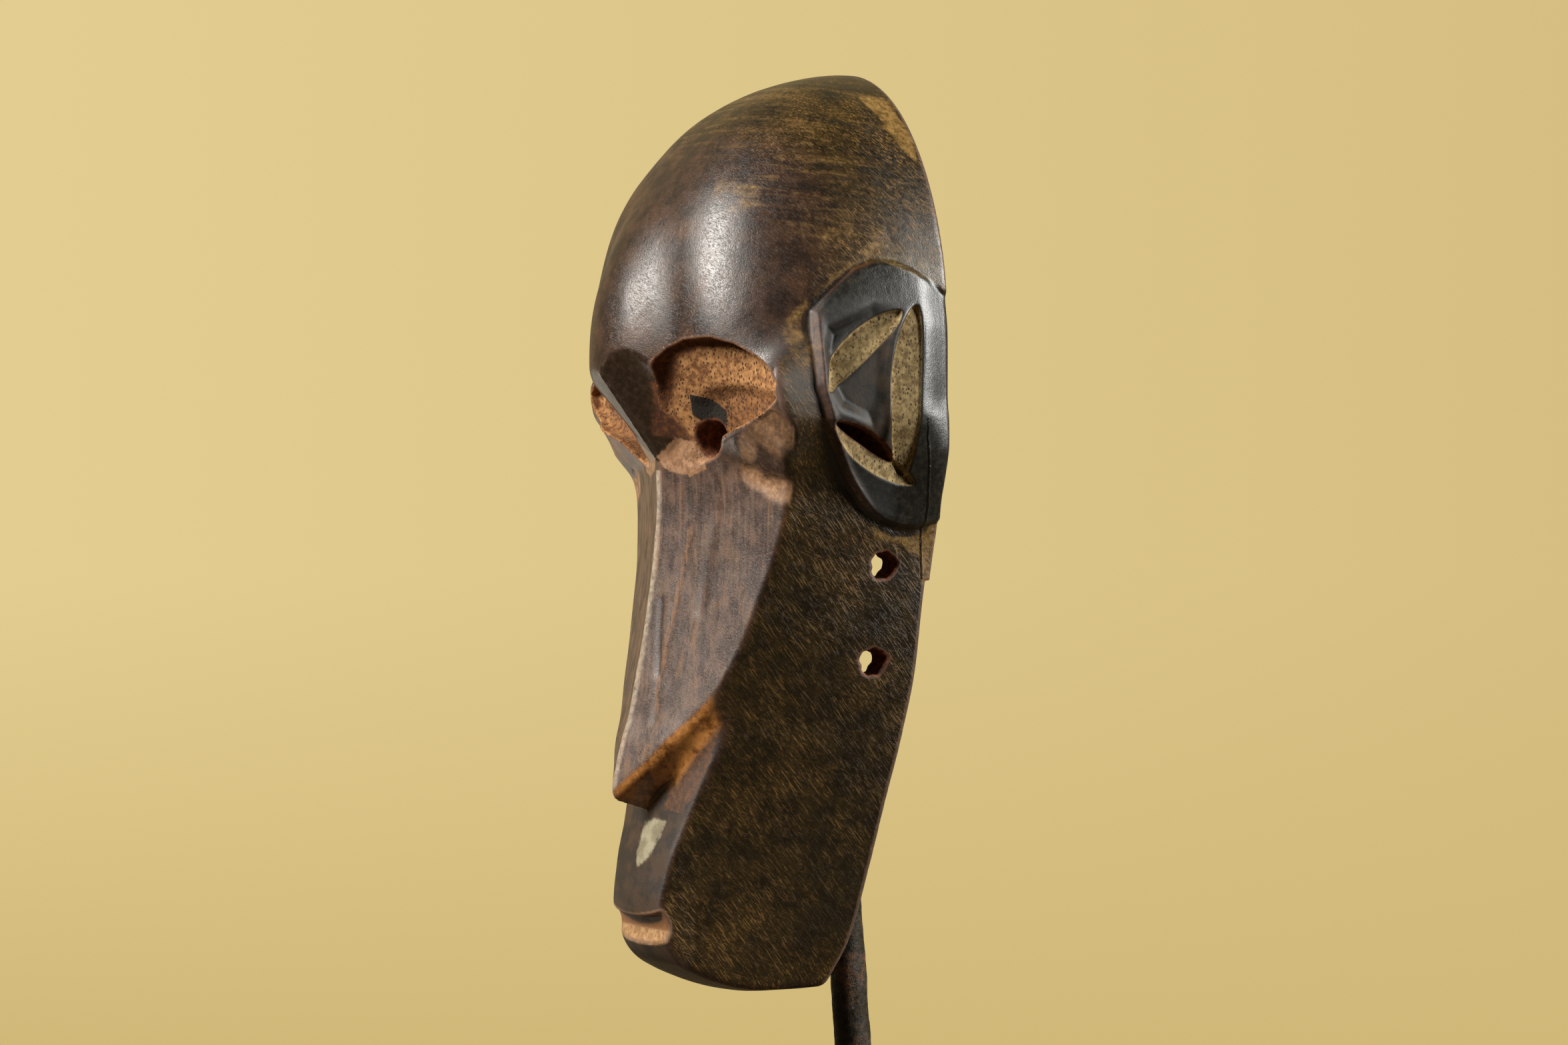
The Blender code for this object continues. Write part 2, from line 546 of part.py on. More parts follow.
BLOCK_Z0 = FELT_T + GAP
BLOCK_Z1 = BLOCK_Z0 + BASE_H
ROD_END_Z = BLOCK_Z0 + ROD_FLOOR
SOCKET_Z = BLOCK_Z1 + GAP
SOCKET_Y = on_axis(SOCKET_Z).y
FIXING_SCREWS = [(FIXING_SCREW_CIRCLE_R * math.cos(math.radians(a)),
                  SOCKET_Y + FIXING_SCREW_CIRCLE_R * math.sin(math.radians(a)))
                 for a in FIXING_SCREW_ANGLES]
CLAMP_Z = SOCKET_Z + FLANGE_T + NECK_H * CLAMP_LEVEL
CLAMP_Y = on_axis(CLAMP_Z).y
BAR_CENTRE = on_axis(BAR_Z + MASK_OFFSET[2])
ARM_HEIGHT = ARM_Z + MASK_OFFSET[2]
ARM_ROOT = on_axis(ARM_HEIGHT).y - ROD_R - ARM_ROD_GAP
ARM_TIP = ARM_TIP_Y + MASK_OFFSET[1]


def rod_bore(z):
    """Cutter along the rod's axis, starting at height z."""
    return cylinder(ROD_BORE_R, ROD_BORE_LEN, ROD_SEG, on_axis(z), ROD_AXIS)


def pilot_holes(z, length):
    """Upright cutters for the three fixing screws."""
    return [cylinder(PILOT_R, length, 16, (x, y, z), (0, 0, 1)) for x, y in FIXING_SCREWS]


# ---------------------------------------------------------------- pieces
def build_mask():
    verts, faces = zero_surface(mask_form, LATTICE_LOW, LATTICE_HIGH, CARVE_STEP)
    verts = settle(mask_form, verts) + np.array(MASK_OFFSET)
    bm = bmesh.new()
    bm_verts = [bm.verts.new(point) for point in verts.tolist()]
    for face in faces.tolist():
        bm.faces.new([bm_verts[i] for i in face])
    mask = add_object("mask_body", bm, CARVED_WOOD, MASK_OFFSET)
    mod = mask.modifiers.new("facets", "DECIMATE")
    mod.ratio = MASK_TRIANGLES / len(mask.data.polygons)
    mod.use_collapse_triangulate = True
    bake_modifiers(mask)


def build_base():
    """Felt and the block on it, bored for the rod and the fixing screws."""
    felt = rounded_block(BASE_X - 2 * FELT_INSET, BASE_Y - 2 * FELT_INSET, 0.0, FELT_T,
                         FELT_CORNER)
    add_object("base_felt", felt, FELT)
    bm = rounded_block(BASE_X, BASE_Y, BLOCK_Z0, BLOCK_Z1, BASE_CORNER, BASE_BEVEL)
    block = add_object("base_block", bm, BASE_WOOD)
    cut_out(block, [rod_bore(ROD_END_Z - 0.35)] + pilot_holes(BLOCK_Z1 - 10.5, 30.0))


def build_socket():
    """Flanged collar round the rod's foot."""
    top = FLANGE_T + NECK_H
    profile = [(FLANGE_R, 0.0), (FLANGE_R, FLANGE_T - 0.8), (FLANGE_R - 0.8, FLANGE_T),
               (NECK_R + 1.0, FLANGE_T), (NECK_R, FLANGE_T + 1.0),
               (NECK_R, top - 1.0), (NECK_R - 1.0, top)]
    bm = lathe(profile, 48, (0, SOCKET_Y, SOCKET_Z), (0, 0, 1))
    socket = add_object("rod_socket", bm, STEEL)
    clamp_hole = cylinder(CLAMP_R + 0.2, 20.0, 24, (1.0, CLAMP_Y, CLAMP_Z), (1, 0, 0))
    cut_out(socket, [rod_bore(SOCKET_Z - 12), clamp_hole] + pilot_holes(SOCKET_Z - 4, 12.0))


def build_fixing_screws():
    """Pointed screws through the flange; heights run from under the head."""
    profile = [(0, -FLANGE_T - 8.4), (0.9, -FLANGE_T - 6.5), (1.4, -FLANGE_T - 5.0), (1.4, 0.0),
               (2.7, 0.0), (2.7, 0.7), (2.1, 1.4), (0, 1.7)]
    head_z = SOCKET_Z + FLANGE_T + GAP
    for number, (x, y) in enumerate(FIXING_SCREWS, 1):
        bm = lathe(profile, 16, (x, y, head_z), (0, 0, 1))
        add_object("socket_screw_%d" % number, bm, STEEL)


def build_clamp_screw():
    """Thumb screw through the +X side of the socket, its tip next to the rod."""
    tip = ROD_R + GAP
    head = NECK_R + 2.2
    profile = [(1.2, tip), (CLAMP_R, tip + 0.8), (CLAMP_R, head), (4.2, head),
               (5.4, head + 0.8), (5.4, head + 3.8), (4.6, head + 4.6)]
    centre = (0, CLAMP_Y, CLAMP_Z)
    add_object("clamp_screw", lathe(profile, 24, centre, (1, 0, 0)), STEEL, centre)


def build_rod():
    """Leaning rod from inside the block to just under the cross bar."""
    top_z = BAR_Z + MASK_OFFSET[2] - BAR_R - GAP
    length = (top_z - ROD_END_Z) / ROD_AXIS.z
    heights = [0.0] + [1.0 + (length - 2.0) * i / ROD_SPANS for i in range(ROD_SPANS + 1)]
    heights.append(length)
    radii = [ROD_R - 0.8] + [ROD_R] * ROD_SPANS + [ROD_R - 0.4, ROD_R - 1.4]
    bm = lathe(list(zip(radii, heights)), ROD_SEG, on_axis(ROD_END_Z), ROD_AXIS)
    add_object("stand_rod", bm, IRON, tuple(ROD_ORIGIN))


def build_cross_bar():
    """Bar along X over the rod's top, with a closed leather sleeve on each end."""
    profile = [(BAR_R - 0.6, -BAR_HALF), (BAR_R, -BAR_HALF + 0.6),
               (BAR_R, BAR_HALF - 0.6), (BAR_R - 0.6, BAR_HALF)]
    add_object("cross_bar", lathe(profile, 24, BAR_CENTRE, (1, 0, 0)), IRON)
    mouth = BAR_HALF - PAD_LEN
    floor = BAR_HALF + PAD_END_GAP
    bore = BAR_R + PAD_CLEARANCE
    sleeve = [(0, floor), (bore, floor), (bore, mouth), (PAD_R - 0.8, mouth),
              (PAD_R, mouth + 1.0), (PAD_R, BAR_HALF - 1.0), (PAD_R - 0.5, BAR_HALF + 0.6),
              (PAD_R - 1.8, BAR_HALF + 1.8), (0, BAR_HALF + 2.1)]
    for side, direction in (("right", -1), ("left", 1)):
        bm = lathe(sleeve, 24, BAR_CENTRE, (direction, 0, 0))
        add_object("bar_pad_" + side, bm, LEATHER)


def build_arm():
    """Short arm pointing forward from the rod, with a leather cap on its tip."""
    length = ARM_ROOT - ARM_TIP
    profile = [(ARM_R, 0.0), (ARM_R, length - 0.5), (ARM_R - 0.5, length)]
    add_object("lower_arm", lathe(profile, 20, (0, ARM_ROOT, ARM_HEIGHT), (0, -1, 0)), IRON)
    floor = ARM_PAD_OVERLAP + PAD_END_GAP
    bore = ARM_R + PAD_CLEARANCE
    cap = [(0, floor), (bore, floor), (bore, 0.0), (PAD_R - 0.8, 0.0), (PAD_R, 1.0),
           (PAD_R, ARM_PAD_OVERLAP + 0.8), (PAD_R - 1.4, ARM_PAD_OVERLAP + 2.3),
           (0, ARM_PAD_OVERLAP + 2.8)]
    mouth = (0, ARM_TIP + ARM_PAD_OVERLAP, ARM_HEIGHT)
    add_object("arm_pad", lathe(cap, 20, mouth, (0, -1, 0)), LEATHER)


def material(name, color, roughness, metallic=0.0):
    mat = bpy.data.materials.new(name)
    mat.use_nodes = True
    shader = mat.node_tree.nodes["Principled BSDF"]
    shader.inputs["Base Color"].default_value = (*color, 1.0)
    shader.inputs["Roughness"].default_value = roughness
    shader.inputs["Metallic"].default_value = metallic
    return mat


for leftover in list(bpy.data.objects):
    bpy.data.objects.remove(leftover)
for leftover in list(bpy.data.meshes):
    bpy.data.meshes.remove(leftover)

CARVED_WOOD = material("carved_wood", color=(0.075, 0.045, 0.030), roughness=0.42)
IRON = material("forged_iron", color=(0.055, 0.045, 0.040), roughness=0.62, metallic=0.75)
BASE_WOOD = material("base_wood", color=(0.050, 0.032, 0.022), roughness=0.45)
STEEL = material("blackened_steel", color=(0.075, 0.072, 0.070), roughness=0.38, metallic=0.9)
FELT = material("felt", color=(0.030, 0.028, 0.026), roughness=0.95)
LEATHER = material("leather", color=(0.110, 0.062, 0.035), roughness=0.70)

build_mask()
build_base()
build_socket()
build_fixing_screws()
build_clamp_screw()
build_rod()
build_cross_bar()
build_arm()
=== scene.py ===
"""A carved wooden mask on its forged iron stand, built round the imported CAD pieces.

The row frame is in metres, +Z up, and the face looks along -Y, so +X is the mask's left.
Shapes are worked out in mm. The mask has its own origin in the middle of the chin; in its
form "side" is the distance from the middle plane, |x|. Forms are distance functions,
negative inside the solid.
"""
import math

import bmesh
import bpy
import numpy as np
import openvdb as vdb
from mathutils import Matrix, Vector


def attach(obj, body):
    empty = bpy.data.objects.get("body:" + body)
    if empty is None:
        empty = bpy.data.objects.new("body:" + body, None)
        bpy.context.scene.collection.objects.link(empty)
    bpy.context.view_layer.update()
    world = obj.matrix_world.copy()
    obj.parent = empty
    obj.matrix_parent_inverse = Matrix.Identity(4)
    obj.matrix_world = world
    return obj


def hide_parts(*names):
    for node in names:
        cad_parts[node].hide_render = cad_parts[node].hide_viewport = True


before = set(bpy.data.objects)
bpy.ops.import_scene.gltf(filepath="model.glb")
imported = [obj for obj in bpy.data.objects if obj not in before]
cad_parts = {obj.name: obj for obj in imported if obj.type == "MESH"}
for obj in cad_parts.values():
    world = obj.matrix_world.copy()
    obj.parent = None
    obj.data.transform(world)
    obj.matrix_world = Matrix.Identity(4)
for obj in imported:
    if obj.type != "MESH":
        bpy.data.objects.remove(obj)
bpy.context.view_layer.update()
SCENE = bpy.context.scene

# ================================================================ the mask's dimensions (mm)
MASK_ORIGIN = np.array((0.0, -8.0, 80.0))     # in the row frame
VOXEL = 0.8
GRID_LOW, GRID_HIGH = (-64, -46, -4), (64, 40, 246)

BACK_Y = 33.8                                 # the plane behind the head
WALL_T = 8.5
HEAD_W, HEAD_D, HEAD_H = 55.0, 66.7, 76.2     # half width, depth, height above the temples
HEAD_Z = 165.0                                # the temples
WALL_TOP = 153.0                              # above this the side wall goes straight up
WALL_FRONT_Y = -15.0                          # where the WALL widths are taken
LASHING_HOLES = ((20.2, 111.8, 3.4), (19.2, 87.2, 3.4))      # y, z, radius

# z, half width at the back edge, y of the back edge
RIM = [(-6, 16, 15.0), (1, 19, 16.6), (15, 25.5, 21.0), (33, 31, 23.6), (50, 35.5, 25.8),
       (67, 39.2, 28.6), (85, 42.5, 30.9), (103, 44.8, 31.8), (114, 46.0, 32.8),
       (124, 48.2, 33.4), (133, 51.2, 33.7), (142, 53.8, 33.8), (152, 55.0, 33.8),
       (175, 55.0, 33.8)]
# z, half width near the front
WALL = [(-6, 13.5), (0, 14.5), (12, 16.8), (26, 18.4), (46, 21.2), (58, 23.8), (66, 25.9),
        (73, 27.0), (78, 28.4), (84, 30.2), (90, 32.0), (96, 33.5), (103, 35.0), (108, 36.3),
        (115, 38.3), (122, 40.2), (128.6, 41.4), (133, 43.2), (138, 46.6), (143, 50.4),
        (148, 54.6), (153, 56.2), (158, 55.4), (164, 52.4), (170, 49.6), (177, 48.0)]
# share of the height above the temples, share of the head's depth
CROWN = [(0, 1.0), (0.2, 1.001), (0.3, 1.005), (0.39, 1.015), (0.48, 1.026), (0.576, 1.035),
         (0.668, 1.038), (0.76, 1.047), (0.805, 1.054), (0.85, 1.062), (0.9, 1.068), (1.0, 1.078)]
# z, y of the nose ridge
RIDGE = [(44, -36.4), (52, -35.5), (58, -34.3), (66, -32.5), (72.5, -30.4), (80, -28.7),
         (90, -26.7), (102, -24.8), (115, -23.1), (128, -22.2), (140, -22.4), (160, -22.7)]
# z, how far the slab falls back per mm sideways
SLOPE = [(48, 0.365), (110, 0.365), (122, 0.355), (130, 0.345), (138, 0.305), (146, 0.215),
         (152, 0.142), (160, 0.115), (168, 0.16)]
# z, y of the muzzle's middle line
MUZZLE = [(10, -28.4), (19.5, -28.6), (22.5, -30.4), (26, -30.2), (34, -28.6), (46, -25.4),
          (62, -22.0), (72, -20.4), (82, -18.0), (110, -10.0), (140, -8.0)]
# outlines from the front: side, z
SOCKET = [(1.6, 139.6), (7, 138.0), (14, 137.6), (18.5, 138.8), (21.6, 139.9), (26.0, 142.2),
          (29.8, 144.6), (36.7, 146.1), (42.2, 147.5), (47.3, 150.3), (52.6, 153.6),
          (53.4, 157.2), (51.4, 159.6), (46.7, 163.2), (40.5, 167.2), (34.8, 169.0),
          (26.4, 168.7), (20.8, 166.6), (17.6, 163.8), (14.4, 157.7), (10.2, 152.1),
          (6.4, 146.0), (3.1, 141.8)]
BOWL = [(18.5, 147.0), (19.6, 153.0), (25.0, 156.0), (32.0, 157.2), (39.0, 156.6), (46.0, 155.2),
        (50.6, 153.6), (46.0, 150.0), (36.0, 145.4), (28.0, 140.0), (21.0, 139.0)]
# z, y of the ear's front edge
EAR_FRONT = [(124, 15.6), (128, 11.6), (133, 7.6), (140.5, 2.6), (148.5, -1.9), (157, -4.6),
             (166, -4.6), (175.4, -4.2)]
# outlines from the side: y, z
EAR = [(-4.2, 175.4), (-1.2, 178.6), (3.2, 182.6), (7.8, 186.4), (13.3, 188.6), (18.7, 188.4),
       (23.0, 187.0), (27.5, 184.6), (31.5, 182.0), (40.0, 177.0), (40.0, 124.0), (31.5, 122.4),
       (27.0, 121.0), (21.6, 121.6), (17.6, 123.0), (14.0, 125.4), (10.4, 129.4), (6.2, 134.9),
       (2.6, 140.5), (-1.9, 148.5), (-4.6, 157.0), (-4.6, 166.0)]
EAR_DISH = [(-1.4, 172.0), (11.0, 178.0), (19.0, 177.0), (15.6, 166.0), (15.0, 152.0),
            (11.0, 146.0), (1.0, 151.0), (-2.2, 157.0), (-2.8, 166.0)]
CRACK = [(26.5, 149.0), (26.9, 144.0), (28.2, 136.9), (28.9, 131.0), (29.5, 126.8),
         (29.4, 121.7), (30.2, 115.0), (30.9, 108.4)]
# almond shapes, y and z of both tips, width, bow
EAR_SLOT = ((1.0, 147.6), (18.4, 138.4), 3.0, 0.9)
CRESCENT = ((14.0, 189.8), (38.0, 182.6), 4.6, 0.6)
# the same, then least depth, added depth, and the side it deepens to
EAR_LEAVES = (((19.0, 176.0), (-2.4, 155.2), 7.0, -1.3, 0.15, 2.0, -1),
              ((23.4, 177.6), (22.0, 134.6), 9.0, -3.0, 0.35, 1.9, -1),
              ((-0.3, 147.8), (25.0, 132.4), 6.2, -0.8, 0.30, 2.3, 1))


# ================================================================ curves and distances
def curve(z, rows, col=1):
    """smooth monotone curve through the stations of a table, straight beyond its ends"""
    data = np.array(rows, float)
    at, value = data[:, 0], data[:, col]
    gap = np.diff(at)
    rise = np.diff(value) / gap
    slope = np.zeros_like(value)
    slope[0], slope[-1] = rise[0], rise[-1]
    for i in range(1, len(at) - 1):
        if rise[i - 1] * rise[i] > 0:
            before, after = 2 * gap[i] + gap[i - 1], gap[i] + 2 * gap[i - 1]
            slope[i] = (before + after) / (before / rise[i - 1] + after / rise[i])
    inner = np.clip(z, at[0], at[-1])
    i = np.clip(np.searchsorted(at, inner, side="right") - 1, 0, len(at) - 2)
    t = (inner - at[i]) / gap[i]
    t2, t3 = t * t, t * t * t
    hermite = ((2 * t3 - 3 * t2 + 1) * value[i] + (t3 - 2 * t2 + t) * gap[i] * slope[i]
               + (-2 * t3 + 3 * t2) * value[i + 1] + (t3 - t2) * gap[i] * slope[i + 1])
    return (hermite + np.where(z < at[0], (z - at[0]) * slope[0], 0)
            + np.where(z > at[-1], (z - at[-1]) * slope[-1], 0))


def smax(a, b, soft):
    """maximum with a rounded seam: what two forms share"""
    t = np.clip(0.5 + 0.5 * (a - b) / soft, 0, 1)
    return b + (a - b) * t + soft * t * (1 - t)


def smin(a, b, soft):
    """minimum with a rounded seam: two forms joined"""
    return -smax(-a, -b, soft)


def ramp(start, end, value):
    """0 at the start to 1 at the end, eased; the start may be the larger"""
    t = np.clip((value - start) / (end - start), 0, 1)
    return t * t * (3 - 2 * t)


def bell(value, centre, width):
    return np.exp(-((value - centre) / width) ** 2)


def polyline(x, y, points):
    """distance to an open line in a plane"""
    square = np.inf
    for (x0, y0), (x1, y1) in zip(points, points[1:]):
        dx, dy = x1 - x0, y1 - y0
        t = np.clip(((x - x0) * dx + (y - y0) * dy) / (dx * dx + dy * dy), 0, 1)
        square = np.minimum(square, (x - x0 - dx * t) ** 2 + (y - y0 - dy * t) ** 2)
    return np.sqrt(square)


def polygon(x, y, points):
    """signed distance to a closed outline in a plane"""
    closed = [*points, points[0]]
    sign = 1.0
    for (x0, y0), (x1, y1) in zip(closed, closed[1:]):
        left, right = (x1 - x0) * (y - y0), (y1 - y0) * (x - x0)
        up = (y >= y0) & (y < y1) & (left > right)
        down = (y < y0) & (y >= y1) & (left < right)
        sign = sign * np.where(up | down, -1.0, 1.0)
    return sign * polyline(x, y, closed)


def ellipsoid(x, y, z, centre, radii):
    place = list(zip((x - centre[0], y - centre[1], z - centre[2]), radii))
    reach = np.sqrt(sum((p / r) ** 2 for p, r in place))
    slope = np.sqrt(sum((p / r ** 2) ** 2 for p, r in place))
    return reach * (reach - 1.0) / np.maximum(slope, 1e-6)


def along_bow(y, z, start, end, bow):
    """share of the way along a bowed line, signed distance to its side, and its length"""
    dy, dz = end[0] - start[0], end[1] - start[1]
    length = (dy * dy + dz * dz) ** 0.5
    t = ((y - start[0]) * dy + (z - start[1]) * dz) / (length * length)
    held = np.clip(t, 0, 1)
    offset = ((y - start[0]) * (-dz) + (z - start[1]) * dy) / length
    return t, offset - bow * 4 * held * (1 - held), length


def leaf(y, z, start, end, width, bow):
    """signed distance to an almond outline between two tips"""
    t, offset, length = along_bow(y, z, start, end, bow)
    held = np.clip(t, 0, 1)
    half = 0.5 * width * np.power(np.clip(4 * held * (1 - held), 0, 1), 0.62)
    over = np.maximum(np.maximum(-t, t - 1), 0) * length
    gap = np.abs(offset) - half
    return np.sqrt(np.maximum(gap, 0) ** 2 + over ** 2) + np.minimum(gap, 0)


# ================================================================ the carved form
def muzzle_face(side, z):
    return curve(z, MUZZLE) + (3.4 - 1.0 * ramp(26.0, 38.0, z)) * (side / 18.0) ** 2


def side_wall(y, z):
    """half width of the mask, a little swollen in the lower part"""
    front, back, back_y = curve(z, WALL), curve(z, RIM), curve(z, RIM, 2)
    t = (y - WALL_FRONT_Y) / (back_y - WALL_FRONT_Y)
    swell = 1.2 * np.clip(4 * t * (1 - t), -0.5, 1) * ramp(140.0, 118.0, z)
    return front + (back - front) * t + swell


def wall_form(side, y, z):
    return (side - side_wall(y, z)) * 0.95


def cranium(side, y, z, power, width, depth, height, boxy=0.0):
    """half of a super-ellipsoid on the back plane; boxy makes its temples squarer, shallower"""
    y = np.clip(BACK_Y - y, 0, None)
    power = power + boxy * ramp(198.0, 166.0, z)
    depth = depth - 5.3 * boxy * ramp(198.0, 166.0, z)
    rise = np.clip((z - HEAD_Z) / height, 0, None)
    depth = depth * curve(np.clip(rise, 0, 1.0), CROWN)
    level = (np.power(side / width, power) + np.power(y / depth, power)) ** (1 / power)
    reach = np.sqrt(level * level + rise * rise)
    radius = np.sqrt(side ** 2 + y ** 2 + (height * rise) ** 2) + 1e-3
    return (reach - 1.0) * radius / np.maximum(reach, 1e-3) * 0.95


def ear_relief(y, z):
    """how far the ear stands out of the side of the head"""
    inside = ramp(0.7, -1.2, polygon(y, z, EAR))
    relief = inside * (1.5 + 0.5 * ramp(150.0, 128.0, z) - 0.5 * ramp(172.0, 186.0, z))
    dish = ramp(0.6, -3.8, polygon(y, z, EAR_DISH))
    relief = relief - 3.4 * dish * np.clip((18.5 - y) / 19.0, 0, 1)
    # raised lines at the front edge and behind the dish
    relief = relief + (0.7 * bell(y, curve(z, EAR_FRONT) + 0.9, 1.2)
                       * ramp(124.0, 132.0, z) * ramp(177.0, 172.0, z))
    relief = relief + (0.7 * bell(y, 15.2 + 0.018 * (160.0 - z) ** 2 * (z > 160), 1.2)
                       * ramp(138.0, 144.0, z) * ramp(177.0, 173.0, z))
    # sinks towards the back
    relief = relief - inside * (2.4 * ramp(24.0, 36.0, y) * ramp(140.0, 155.0, z)
                                + 0.8 * ramp(29.0, 36.0, y) * ramp(155.0, 140.0, z))
    for start, end, width, bow, least, added, deeper in EAR_LEAVES:
        bed = ramp(0.35, -0.6, leaf(y, z, start, end, width, bow))
        offset = along_bow(y, z, start, end, bow)[1] / width
        relief = relief - bed * (least + added * np.clip(0.5 + deeper * offset, 0, 1))
    return relief


def eye_socket(side, y, z):
    """a scooped floor with a deeper bowl round the pupil, under a steep wall along the brow"""
    floor = (-25.6 + 0.62 * (side - 16.5) - 0.0075 * (side - 16.5) ** 2
             - 0.5 * (z - 158.0) * ramp(46.0, 18.0, side))
    floor = floor + 1.9 * ramp(1.4, -2.6, polygon(side, z, BOWL))
    return smax(polygon(side, z, SOCKET), (y - floor) * 0.95, 2.0)


def brow_cut(x, y, z):
    """the cut from the brow's edge back to the root of the nose; its two sides differ"""
    side = np.abs(x)
    bent = smax(smin(0.52 * side, 6.2 + 0.05 * side, 2.0),
                0.16 * side + 0.004 * np.clip(side - 14, 0, None) ** 2, 1.0)
    lift = 0.9 * ramp(2.0, 9.0, side) * ramp(24.0, 14.0, side)
    facet = -39.6 + (161.9 - z) * 0.745 + np.where(x > 0, bent + lift, 0.26 * side)
    return (facet - y) * 0.8


def slab_foot(side, y, z):
    """height of the slab's arrow-shaped foot above a point"""
    turn = ramp(5.0, 16.0, side)
    cut = 0.30 + 0.45 * turn
    return 51.6 + side * 0.97 - cut * (y - curve(z, RIDGE) - 0.365 * side * turn) - z


def slab_form(side, y, z):
    """nose and cheek slab: two facets on a midline ridge"""
    rounded = np.sqrt(side ** 2 + 0.25) - 0.3
    slab = (curve(z, RIDGE) + curve(z, SLOPE) * rounded - y) * 0.92
    slab = smax(slab, slab_foot(side, y, z) * 0.62, 2.3)
    return smax(slab, (z - 168.0) * 0.7, 6.0)


def mouth_scoop(side, y, z):
    """the hollowed lower lip, tucked under the straight edge of the upper one"""
    bowl = ellipsoid(side, y - 0.0125 * side ** 2, z, (0.0, -37.6, 18.4), (25.0, 11.2, 9.2))
    return smax(bowl, z - (21.2 + 0.010 * side ** 2), 0.6)


def outside(x, y, z):
    side = np.abs(x)
    relief = ear_relief(y, z) * ramp(30.0, 40.0, side)
    wall = wall_form(side, y, z) - relief
    upright_wall = wall_form(side, y, np.minimum(z, WALL_TOP)) - relief
    under = (0.0135 * np.clip(2.0 - y, 0, None) ** 2 + 0.0045 * side ** 2
             + 0.004 * np.clip(y - 8, 0, None) ** 2 + 0.6 - z) * 0.92
    muzzle = smax((muzzle_face(side, z) - y) * 0.97, under, 6.0)
    seam = 0.9 + 3.0 * ramp(7.0, 18.0, side) * ramp(84.0, 76.0, z)
    face = smax(smin(muzzle, slab_form(side, y, z), seam), (z - 172.0) * 0.5, 10.0)
    face = smax(face, wall - 9.0 * ramp(152.0, 140.0, z), 1.8)
    head = cranium(side, y, z, 2.62, HEAD_W, HEAD_D, HEAD_H, boxy=0.55) - relief
    forehead = ellipsoid(side, y, z, (0, -9.0, 166.0), (26.0, 30.3, 44.0))
    head = smin(head, forehead, 5.0)
    head = smax(head, brow_cut(x, y, z), 0.7)
    head = np.maximum(head, 128.0 - z)
    form = smin(face, head, 5.0 * ramp(10.0, 24.0, side) * ramp(140.0, 150.0, z) + 0.8)
    form = smax(form, upright_wall, 1.6 + 1.6 * ramp(144.0, 156.0, z))
    form = smax(form, -eye_socket(side, y, z), 0.8)
    form = smax(form, -mouth_scoop(side, y, z), 0.6)
    # on the +X side the back edge steps back above the crack's lower end
    step = 1.2 * ramp(131.0, 119.0, z) * (z > 107.9) * (x > 30.0)
    return smax(form, y - curve(z, RIM, 2) - step, 1.3)


def hollow(side, y, z):
    low = smax(wall_form(side + WALL_T, y, z), muzzle_face(side * 0.8, z) + 11.5 - y, 9.0)
    low = smax(low, 10.0 + 0.02 * side ** 2 - z, 8.0)
    low = np.maximum(low, z - 165.0)
    high = cranium(side, y, z, 2.6, HEAD_W - 9.0, 37.0, 64.0)
    high = smax(high, wall_form(side + WALL_T, y, np.minimum(z, 175.0)), 6.0)
    high = np.maximum(high, 140.0 - z)
    return smin(low, high, 10.0)


def pierced(x, y, z):
    """the pupils, the slots in the ears and the lashing holes"""
    side = np.abs(x)
    rise = z - 144.2
    form = np.sqrt(((side - 19.6 - 0.35 * rise) / (1.22 + 0.05 * rise)) ** 2
                   + (rise / 1.6) ** 2) - 2.7
    slot_floor = 48.5 - 0.35 * np.clip(z - 143.0, -4, 4)
    form = np.minimum(form, np.maximum(leaf(y, z, *EAR_SLOT), slot_floor - side))
    for hole_y, hole_z, radius in LASHING_HOLES:
        angle = np.arctan2(z - hole_z, y - hole_y)
        ragged = (radius + 0.22 * np.sin(3 * angle + hole_y)
                  + 0.16 * np.sin(5 * angle + 1.3 * hole_z)
                  + 0.12 * np.sin(9 * angle + 2 + x * 0.4))
        hole = np.sqrt((y - hole_y) ** 2 + (z - hole_z) ** 2) - ragged
        form = np.minimum(form, np.maximum(hole, 20.0 - side))
    return form


def mask_form(x, y, z):
    form = smax(outside(x, y, z), -hollow(np.abs(x), y, z), 1.5)
    return smax(form, -pierced(x, y, z), 0.6)


# ================================================================ noise and meshing
def value_noise(points, seed):
    """smooth lattice noise, -1 to 1"""
    cell = np.floor(points).astype(np.int64)
    part = points - cell
    part = part * part * (3 - 2 * part)

    def corner(a, b, c):
        n = (a * 374761393 + b * 668265263 + c * 1103515245 + seed * 974634777) & 0xffffffff
        n = ((n ^ (n >> 13)) * 1274126177) & 0xffffffff
        return ((n ^ (n >> 16)) & 0xffff) / 32767.5 - 1.0
    total = 0.0
    for i in np.ndindex(2, 2, 2):
        weight = [part[:, k] if i[k] else 1 - part[:, k] for k in range(3)]
        total = total + (weight[0] * weight[1] * weight[2]
                         * corner(*(cell[:, k] + i[k] for k in range(3))))
    return total


def fbm(points, size, seed, octaves, stretch=(1, 1, 1)):
    """noise with features of a size in mm and finer octaves on top"""
    total, weight, weights = 0.0, 1.0, 0.0
    for o in range(octaves):
        place = points / (size * np.array(stretch)) * 2.0 ** o + 17.3 * o
        total = total + weight * value_noise(place, seed + o)
        weights += weight
        weight *= 0.5
    return total / weights


def stepped(form, points, step):
    """the form's values a step before and a step after the points, along each axis"""
    return [(form(*(points - move).T), form(*(points + move).T)) for move in np.eye(3) * step]


def gradient(form, points, step=0.06):
    return np.stack([(b - a) / (2 * step) for a, b in stepped(form, points, step)], 1)


def curvature(form, points, step):
    """positive on convex edges"""
    around = sum(a + b for a, b in stepped(form, points, step))
    return (around - 6 * form(*points.T)) / (step * step)


